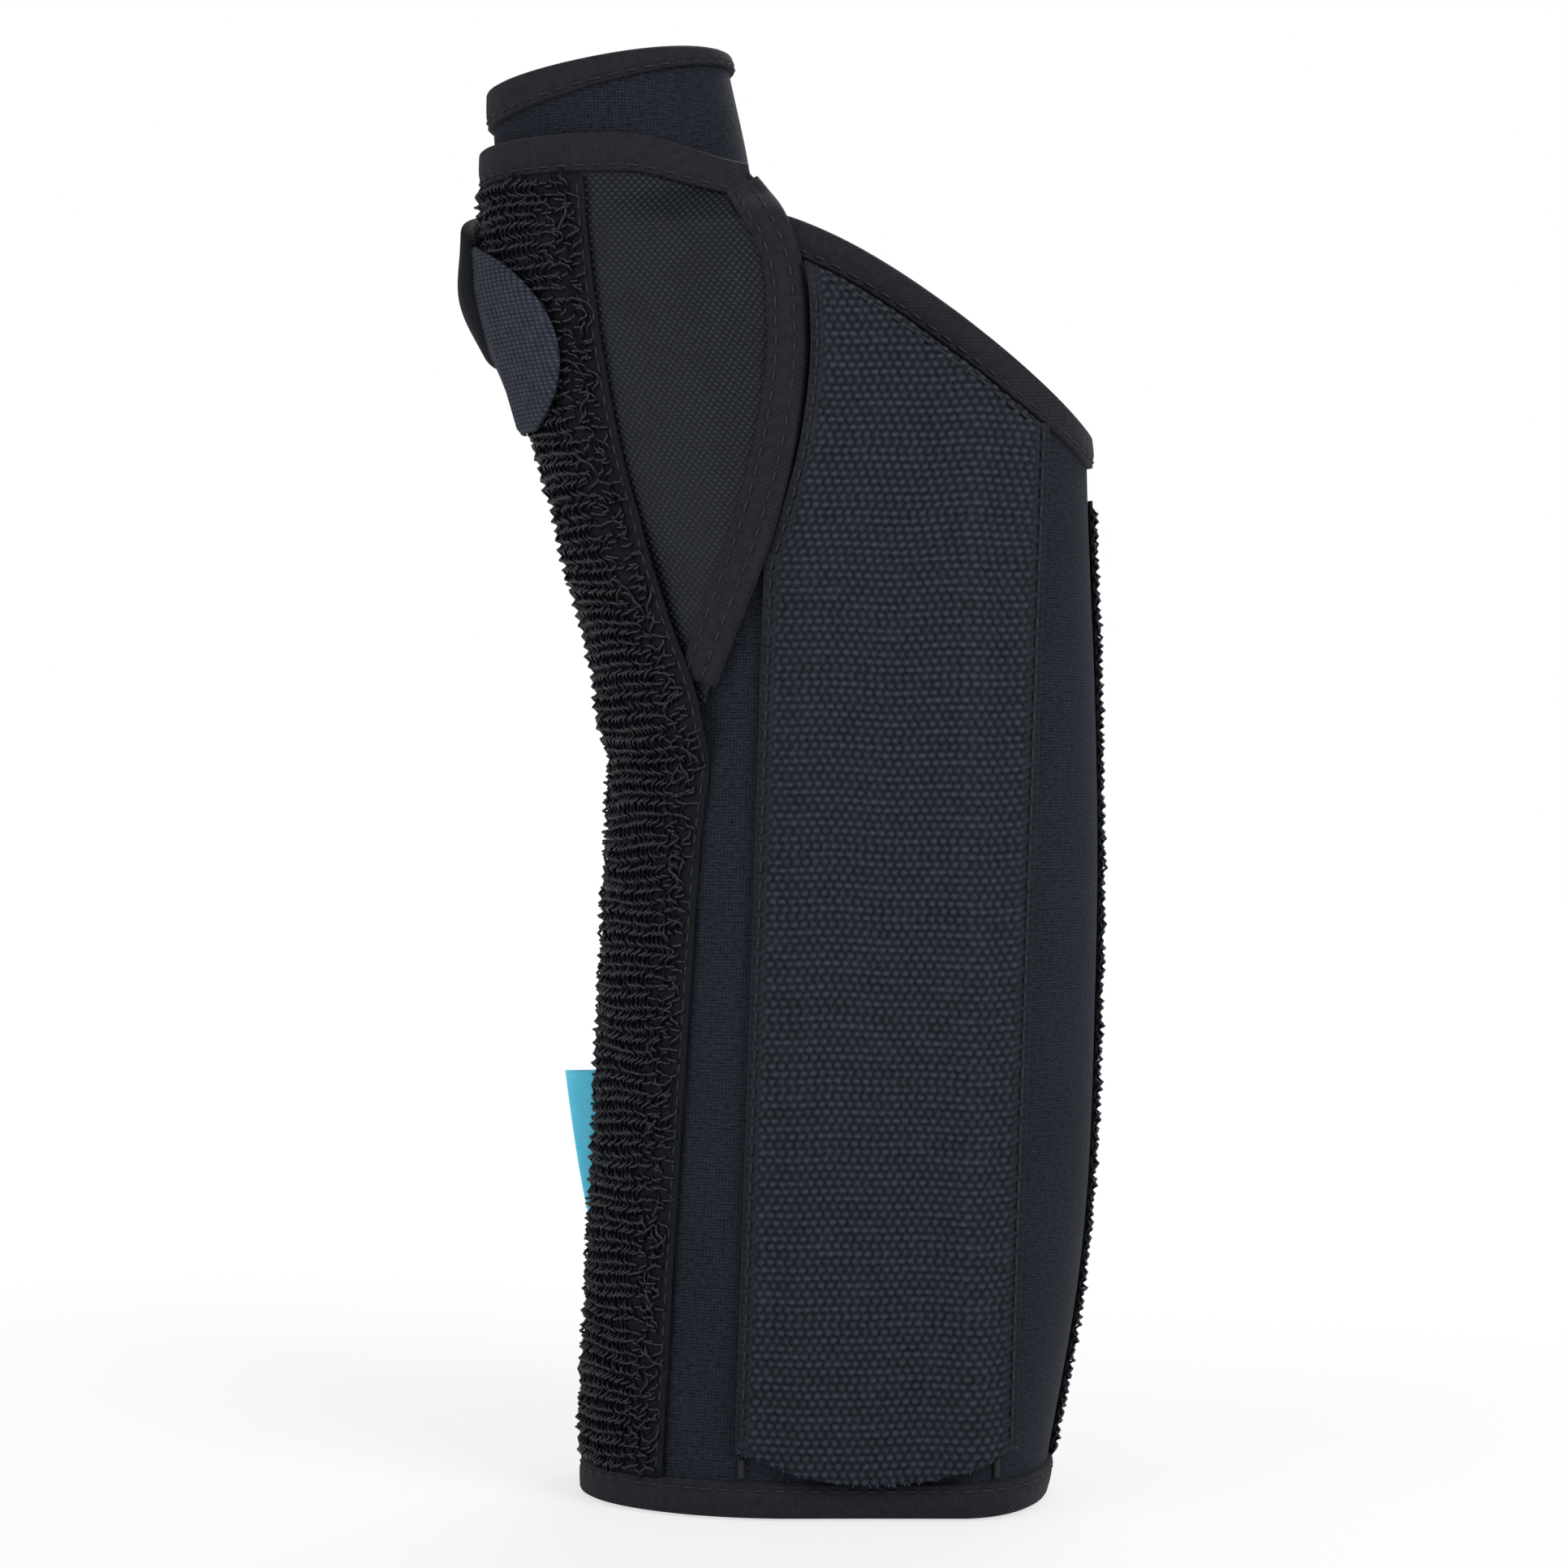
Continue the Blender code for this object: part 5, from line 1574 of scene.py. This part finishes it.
@dataclass
class LoopTape:
    """A strip of loop tape: a flat woven ground, standing loops, and sewn selvages."""

    name: str
    node: str
    left: Callable[[Array], Array]
    right: Callable[[Array], Array]
    bottom: float
    top: float
    under: Depth
    pitch: float = 0.95
    row: float = 1.9
    height: float = 1.05
    margin_left: float = 0.3
    margin_right: float = 2.0
    seed: int = 5
    seams: tuple = (1.1,)

    def build(self) -> None:
        """Makes the ground, the loops and the stitches."""
        up, share = shares(180, 34)
        z = self.bottom + (self.top - self.bottom) * up + 0.0 * share
        u = self.left(z) + (self.right(z) - self.left(z)) * share
        ground = cloth_sheet(
            self.name + "_ground", u, z, self.under, lambda a, b: self.under(a, b) + 0.65
        )
        dress(ground, Cloths.GROUND, "sleeve", (self.node,))
        heights = np.arange(self.bottom + 0.9, self.top - 0.7, self.row)
        width = float(np.mean(self.right(heights) - self.left(heights)))
        count = int((width - self.margin_left - self.margin_right) / self.pitch)
        row = np.arange(len(heights))[:, None]
        across = (np.arange(count)[None, :] + 0.1 * (row % 2)) / (count - 0.5)
        rng = np.random.default_rng(self.seed)
        z = heights[:, None] + 0.08 * rng.normal(size=across.shape)
        left = self.left(z) + self.margin_left
        right = self.right(z) - self.margin_right
        loose = smooth((across - 0.66) / 0.2)
        u = left + (right - left) * across + (0.07 + 0.3 * loose) * rng.normal(size=across.shape)
        z = z + 0.3 * np.sin(u / 3.1 + row * 0.45) + 0.25 * np.sin(u / 7.0 + row * 0.17)
        z = z + 0.4 * loose * rng.normal(size=across.shape)
        slant = 1.25 * np.where(row % 2 == 0, 1.0, -1.0) * (1 - loose)
        slant = slant + 1.3 * loose * rng.normal(size=across.shape)
        z = np.clip(z, self.bottom + 0.6, self.top - 0.6)
        pile = Pile(
            self.name + "_loops", u, z, self.under(u, z) + 0.45, height=self.height, half=0.82,
            slant=slant, radius=0.28, seed=self.seed, tumble=0.2,
        )
        dress(pile.build(), Cloths.PILE, "sleeve")
        line = np.linspace(self.bottom + 0.8, self.top - 0.8, 400)
        for k, inset in enumerate(self.seams):
            at = self.right(line) - inset
            seam = Seam(
                f"{self.name}_stitches_{k + 1}", at, line, self.under(at, line) + 0.62, radius=0.22,
                pitch=2.9, length=2.1,
            )
            sew(seam)


@dataclass
class Tapes:
    """The three loop tapes and the blank label."""

    bottom: float = EDGE + BINDING_WIDTH + GAP

    def build(self) -> None:
        """Makes them."""
        LoopTape(
            "thumb_side_tape",
            "radial_loop_tape",
            lambda z: tape_right(z) - TAPE_WIDTH,
            tape_right,
            self.bottom,
            PANEL_TOP_Z - 2 * EDGE - BINDING_WIDTH - GAP,
            tape_under,
        ).build()
        LoopTape(
            "back_tape",
            "dorsal_loop_panel",
            lambda z: SKIN.back_u(BODY_FREE_X, z) + BINDING_WIDTH + 2 * GAP,
            lambda z: np.minimum(1.6, tape_right(z) - TAPE_WIDTH - 0.5),
            self.bottom,
            WRIST_Z + 15.0,
            level(GAP),
            pitch=1.5,
            row=1.9,
            margin_right=0.3,
            seed=7,
            seams=(),
        ).build()
        LoopTape(
            "palm_side_tape",
            "ulnar_loop_tape",
            lambda z: SKIN.half(z) + 1.0,
            lambda z: SKIN.round_u(FLAP_ROOT_X + 3.0, z),
            self.bottom,
            ULNAR_Z - EDGE - BINDING_WIDTH - 3.0,
            level(GAP),
            pitch=1.1,
            row=1.45,
            height=0.9,
            margin_right=1.6,
            seed=11,
            seams=(0.9,),
        ).build()
        self.label()

    def label(self) -> None:
        """The folded ribbon label: two thin layers that meet in a fold at the free edge.

        Its outline tapers downwards, and it curls slightly towards the palm side.
        """
        up = np.linspace(0.0, 1.0, 40)[:, None]
        z = LABEL_LOW_Z + (LABEL_HIGH_Z - LABEL_LOW_Z) * up
        reach = LABEL_REACH * (0.16 + 0.84 * up**0.8)
        turn = np.linspace(0.0, 1.0, 41)[None, :]
        out = 1 - np.abs(2 * turn - 1)
        side = np.where(turn < 0.5, -1.0, 1.0)
        x0 = SKIN.x(np.zeros_like(z), z)
        tight = np.sqrt(np.clip(1 - out**6, 0, 1))
        x = x0 - GAP - reach * out
        y = side * 0.28 * tight - 0.55 * out**2 * up - 0.12
        outer = (np.stack(np.broadcast_arrays(x, y, z), -1) - SHIFT) * MM
        inner_y = y - side * 0.2
        inner_x = x + 0.25 * out**3
        inner = (np.stack(np.broadcast_arrays(inner_x, inner_y, z), -1) - SHIFT) * MM
        uv = np.stack(np.broadcast_arrays(turn * 14.0 * MM, z * MM), -1)
        dress(shell("ribbon_label", outer, inner, uv), Cloths.RIBBON, "sleeve", ("blank_label",))


@dataclass
class Closure:
    """The flap that closes the guard at the back, with its binding, hooks, pocket and stay."""

    columns: int = 170
    rows: int = 160

    def fold(self) -> tuple[str, str, Array, Array]:
        """The bodies and places of the flap's bend, which dress uses only as a sign that the piece
        folds.
        """
        z = np.array(110.0)
        start, end = (
            SKIN.place(SKIN.round_u(FLAP_ROOT_X - past, z), z, 0.0) for past in FLAP_FOLD
        )
        end[1:] = start[1:]
        return "sleeve", "closure", start, end

    def free_x(self, z: Array) -> Array:
        """x of the flap's free edge."""
        return FLAP_BOTTOM_X + (FLAP_TOP_X - FLAP_BOTTOM_X) * z / WEB_Z

    def under(self, u: Array, z: Array) -> Array:
        """Depth of the flap's inner face."""
        return flap_rise(u, z) - NEOPRENE

    def build(self) -> None:
        """Makes every piece of the closure."""
        up, share = shares(self.rows, self.columns)
        root_x = FLAP_ROOT_X + GAP / 2 + 0.1
        x = root_x + (FLAP_BOTTOM_X - FLAP_ROOT_X) * share + 0.0 * up
        for _ in range(8):
            z = EDGE + (np.minimum(palm_edge_z(x), FLAP_TOP_Z) - 2 * EDGE) * up
            x = root_x + (self.free_x(z) - root_x) * share
        u = SKIN.round_u(x, z)
        slack = 0.2 * np.sin(z / 21.0 + u / 19.0) * np.sin(z / 47.0)
        fold = self.fold()
        flap = cloth_sheet("closing_flap", u, z, self.under, flap_rise, relief=slack - 0.1)
        dress(flap, Cloths.NEOPRENE, "closure", ("closure_flap",), fold)
        path_u = np.concatenate([u[0], u[1:-1, -1], u[-1, ::-1]])
        path_z = np.concatenate([z[0], z[1:-1, -1], z[-1, ::-1]])
        binding = Binding(
            "flap_edge", path_u, path_z, 1, self.under, flap_rise, anchor=back_anchor, cut="upright"
        )
        bind(binding, "closure_flap_binding", "closure", fold)
        self.hooks()
        self.pocket()

    def hooks(self) -> None:
        """The hook tape inside the free edge: a flat ground with rows of small hooks."""
        up, share = shares(90, 16)
        z = 14.0 + (WRIST_Z + 12.0 - 14.0) * up + 0.0 * share
        left = SKIN.round_u(FLAP_RISE_TO, z)
        right = SKIN.round_u(self.free_x(z) + BINDING_WIDTH + 2 * GAP, z)
        u = left + (right - left) * share

        def ground_over(a: Array, b: Array) -> Array:
            """Where the tape's ground meets the flap."""
            return self.under(a, b) - GAP

        ground = cloth_sheet(
            "hook_tape_ground", u, z, lambda a, b: ground_over(a, b) - 0.5, ground_over
        )
        dress(ground, Cloths.HOOK_GROUND, "closure", ("closure_hook_tape",))
        rows = np.arange(14.8, WRIST_Z + 11.4, 1.7)[:, None]
        share = np.linspace(0.05, 0.95, 9)[None, :]
        z = rows + 0.0 * share
        left = SKIN.round_u(FLAP_RISE_TO, z)
        right = SKIN.round_u(self.free_x(z) + BINDING_WIDTH + 2 * GAP, z)
        u = left + (right - left) * share
        hooks = Pile(
            "hook_tape_hooks", u, z, ground_over(u, z) - 0.45, height=-0.72, half=0.28, slant=0.12,
            radius=0.11, arc=0.82, seed=13, tumble=0.1,
        )
        dress(hooks.build(), Cloths.HOOKS, "closure")

    def pocket(self) -> None:
        """The narrow pocket of woven cloth over the spring stay, and its stitches."""
        half = DORSAL_POCKET_WIDTH / 2
        up = np.linspace(0.0, 1.0, 200)[:, None]
        share = np.linspace(-1.0, 1.0, 50)[None, :]
        low, high = EDGE + BINDING_WIDTH + 2.0, DORSAL_STAY_TOP + 4.0
        z = low + (high - low) * up + 0.0 * share
        u = SKIN.round_u(DORSAL_STAY_X - half * share, z)

        def rise(a: Array, b: Array) -> Array:
            """How much the pocket rises over the stay."""
            flat = DORSAL_STAY_WIDTH / 2 + 0.6
            away = abs(a - SKIN.round_u(DORSAL_STAY_X, b)) - flat
            return (STAY_LIFT + DORSAL_STAY_THICK) * (1 - smooth(away / (half - flat)))

        weave = 0.06 * np.cos(2 * np.pi * z / 1.1) * np.cos(2 * np.pi * u / 1.3)
        sheet = cloth_sheet(
            "back_pocket",
            u,
            z,
            lambda a, b: GAP + rise(a, b),
            lambda a, b: GAP + PANEL + rise(a, b) - 0.1,
            relief=weave,
        )
        dress(sheet, Cloths.POCKET, "closure", ("dorsal_stay_pocket",))
        line = np.linspace(low + 1.0, high - 1.5, 300)
        sides = (DORSAL_STAY_X - half + 1.1, DORSAL_STAY_X + half - 1.1)
        for name, x in zip(("left", "right"), sides):
            at = SKIN.round_u(x, line)
            depth = GAP + PANEL + rise(at, line) - 0.15
            sew(Seam(f"back_pocket_stitches_{name}", at, line, depth), "closure")
        across = np.linspace(DORSAL_STAY_X - half + 1.2, DORSAL_STAY_X + half - 1.2, 60)
        z_top = np.full(60, high - 1.4)
        at = SKIN.round_u(across, z_top)
        seam = Seam("back_pocket_stitches_top", at, z_top, GAP + PANEL + rise(at, z_top) - 0.15)
        sew(seam, "closure")
        repaint("dorsal_stay", Cloths.STEEL)


@dataclass
class Strap:
    """The thumb strap, sewn on behind, and the hook tab on its end."""

    def fold(self) -> tuple[str, str, Array, Array]:
        """The bodies and places of the strap's bend, which dress uses only as a sign that the piece
        folds.
        """
        z = np.array(220.0)
        start = SKIN.place(np.array(STRAP_ROOT_U), z, 2.0)
        end = SKIN.place(np.array(STRAP_ROOT_U + STRAP_FOLD), z, 2.0)
        return "sleeve", "thumb_strap", start, end

    def slack(self, u: Array, z: Array) -> Array:
        """How far the strap's end stands off: a bell over the height, faded out both ways."""
        height = (2 * z - STRAP_LOW_Z - STRAP_HIGH_Z) / (STRAP_HIGH_Z - STRAP_LOW_Z)
        along = smooth((u + 14.0) / 9.0) * (1 - smooth((u - 4.0) / 7.0))
        return 1.9 * np.exp(-(((height + 0.3) / 0.6) ** 2)) * along

    def end(self, z: Array) -> Array:
        """u of the strap's rounded end: a fourth power, cut back more towards its top."""
        height = (2 * z - STRAP_LOW_Z - STRAP_HIGH_Z) / (STRAP_HIGH_Z - STRAP_LOW_Z)
        return STRAP_END_U + 8.0 - 9.0 * height**4 - 8.0 * np.clip(height, 0, 1) ** 2

    def under(self, u: Array, z: Array) -> Array:
        """Depth of the strap's inner face: on the panel at its root, level with the tape later."""
        climb = smooth((u - STRAP_ROOT_U - 3.0) / 8.0)
        return LOOSE + PANEL + GAP + (LOOP_TAPE + GAP) * climb + self.slack(u, z)

    def build(self) -> None:
        """Makes the strap and the tab."""
        middle, half = (STRAP_LOW_Z + STRAP_HIGH_Z) / 2, (STRAP_HIGH_Z - STRAP_LOW_Z) / 2
        height = np.linspace(-1.0, 1.0, 90)[:, None]
        share = np.linspace(0.0, 1.0, 60)[None, :]
        z = middle + half * height + 0.0 * share
        end = self.end(z)
        u = STRAP_ROOT_U + (end - STRAP_ROOT_U) * share
        to_rim = np.minimum((1 - np.abs(height)) * half, (end - u))
        round_ = 1 - np.sqrt(np.clip(1 - (1 - np.clip(to_rim / 1.8, 0, 1)) ** 2, 0, 1))
        outer = SKIN.place(u, z, self.under(u, z) + STRAP_THICK + 0.25 - (STRAP_THICK / 2) * round_)
        inner = SKIN.place(u, z, self.under(u, z) + (STRAP_THICK / 2 - 0.2) * round_)
        strap = shell("thumb_strap_body", outer, inner, grid_uv(u, z))
        fold = self.fold()
        dress(strap, Cloths.STRAP, "thumb_strap", ("thumb_strap",), fold)
        line = np.linspace(STRAP_LOW_Z + 1.5, STRAP_HIGH_Z - 1.5, 60)
        at = np.full(60, STRAP_ROOT_U + 1.4)
        seam = Seam("thumb_strap_stitches", at, line, self.under(at, line) + STRAP_THICK + 0.1)
        sew(seam, "thumb_strap", fold)
        self.tab()

    def tab(self) -> None:
        """The leaf-shaped hook tab: its right side is a half sine raised to a small power."""
        low, high = STRAP_LOW_Z - 13.0, STRAP_HIGH_Z - 9.0
        up, share = shares(110, 60)
        z = low + (high - low) * up + 0.0 * share
        spine = -45.0 - 10.3 * up
        left = STRAP_END_U + GAP + 4.0 * np.clip((STRAP_LOW_Z + 6.0 - z) / 17.0, 0, 1) ** 1.5
        free = smooth((STRAP_LOW_Z + 9.0 - z) / 9.0)
        left = free * np.maximum(left, SKIN.palm_u(spine + 2.4 - 1.4 * up + 0.0 * z, z))
        left = left + (1 - free) * (STRAP_END_U + 5.4)
        bulge = np.sin(math.pi * (0.05 + 0.9 * up)) ** 0.75
        right = SKIN.palm_u(spine + 3.2 - 1.4 * up + 9.9 * bulge, z)
        u = left + (right - left) * share
        to_rim = np.minimum(np.minimum(right - u, (high - z)), z - low)
        curl = 0.5 * (1 - smooth(to_rim / 1.2))

        def under(a: Array, b: Array) -> Array:
            """Depth of the tab's inner face, on the loops."""
            return tape_under(a, b) + LOOP_TAPE + GAP + self.slack(a, b)

        tab = cloth_sheet(
            "hook_tab", u, z, under, lambda a, b: under(a, b) + HOOK_TAPE, relief=-curl
        )
        dress(tab, Cloths.TAB, "thumb_strap", ("thumb_hook_tab",))


# ------------------------------------------------------------------ the stage


@dataclass(frozen=True)
class Studio:
    """A pale floor, soft lamps, and a level camera square to the palm side.

    The distance and the eye's height are in millimetres, and so are the lens and its sensor.
    """

    distance: float = 620.0
    eye_height: float = 128.8
    lens: float = 77.8
    sensor: float = 36.0

    def build(self) -> None:
        """Sets the scene."""
        self.floor()
        self.lamp("key", (0.75, -0.85, 0.75), 0.6, 8.5)
        self.lamp("fill", (-0.95, -0.75, 0.45), 0.8, 5.0)
        self.lamp("back", (0.3, 1.0, 0.9), 0.8, 7.0)
        self.world()
        self.camera()
        bpy.context.scene.view_settings.view_transform = "Standard"

    def floor(self) -> None:
        """A wide flat floor, drawn nearly white to the camera with the guard's shadow on it."""
        side = np.linspace(-3.0, 3.0, 3)
        x, y = np.meshgrid(side, side)
        points = np.stack([x, y, np.full_like(x, -0.0002)], -1).reshape(-1, 3)
        mesh = bpy.data.meshes.new("floor")
        mesh.from_pydata(points.tolist(), [], quads(3, 3).tolist())
        made = bpy.data.objects.new("floor", mesh)
        bpy.context.scene.collection.objects.link(made)
        paint = bpy.data.materials.new("pale_floor")
        paint.use_nodes = True
        tree = paint.node_tree
        tree.nodes.clear()
        matt = add(tree, "BsdfDiffuse", {"Color": linear("#F4F4F4")}, 0)
        white = add(tree, "Emission", {"Color": (1, 1, 1, 1), "Strength": 1.04}, 0)
        seen = add(tree, "LightPath", {}, "Is Camera Ray")
        place = add(tree, "TexCoord", {}, "Object")
        reach = add(tree, "VectorMath", {0: place}, "Value", operation="LENGTH")
        fade = {"Value": reach, "From Min": 0.12, "From Max": 0.45, "To Min": 0.66, "To Max": 1.0}
        share = total(tree, 0.0, (seen, add(tree, "MapRange", fade, "Result")))
        both = add(tree, "MixShader", {0: share, 1: matt, 2: white}, 0)
        add(tree, "OutputMaterial", {"Surface": both})
        mesh.materials.append(paint)

    def lamp(self, name: str, place: tuple[float, float, float], size: float, power: float) -> None:
        """A square soft lamp that faces the guard's middle."""
        light = bpy.data.lights.new(name, "AREA")
        light.size = size
        light.energy = power
        made = bpy.data.objects.new(name, light)
        from_middle = np.array(place) - np.array([0.0, 0.0, 0.12])
        turn = np.arctan2(from_middle[0], -from_middle[1])
        tilt = np.arctan2(math.hypot(from_middle[0], from_middle[1]), from_middle[2])
        made.location = place
        made.rotation_euler = (tilt, 0.0, turn)
        bpy.context.scene.collection.objects.link(made)

    def world(self) -> None:
        """Even white surroundings, plain white to the camera."""
        world = bpy.data.worlds.new("surroundings")
        bpy.context.scene.world = world
        world.use_nodes = True
        tree = world.node_tree
        tree.nodes.clear()
        seen = add(tree, "LightPath", {}, "Is Camera Ray")
        strength = add(tree, "MapRange", {"Value": seen, "To Min": 0.42, "To Max": 1.0}, "Result")
        back = add(tree, "Background", {"Color": (1, 1, 1, 1), "Strength": strength}, 0)
        add(tree, "OutputWorld", {"Surface": back})

    def camera(self) -> None:
        """The camera, level, at the height of the guard's middle."""
        data = bpy.data.cameras.new("camera")
        data.lens = self.lens
        data.sensor_width = self.sensor
        made = bpy.data.objects.new("camera", data)
        spot = (np.array([0.0, -self.distance, self.eye_height]) - SHIFT) * MM
        made.location = spot
        made.rotation_euler = (math.pi / 2, 0.0, 0.0)
        bpy.context.scene.collection.objects.link(made)
        bpy.context.scene.camera = made


def main() -> None:
    """Builds the guard's sub-assemblies in order, then the stage."""
    logging.basicConfig(level=logging.INFO, format="%(message)s")
    body = Body()
    body.build()
    Thumb().build()
    PalmPocket().build(body)
    Tapes().build()
    Closure().build()
    Strap().build()
    Studio().build()


if __name__ == "__main__":
    main()
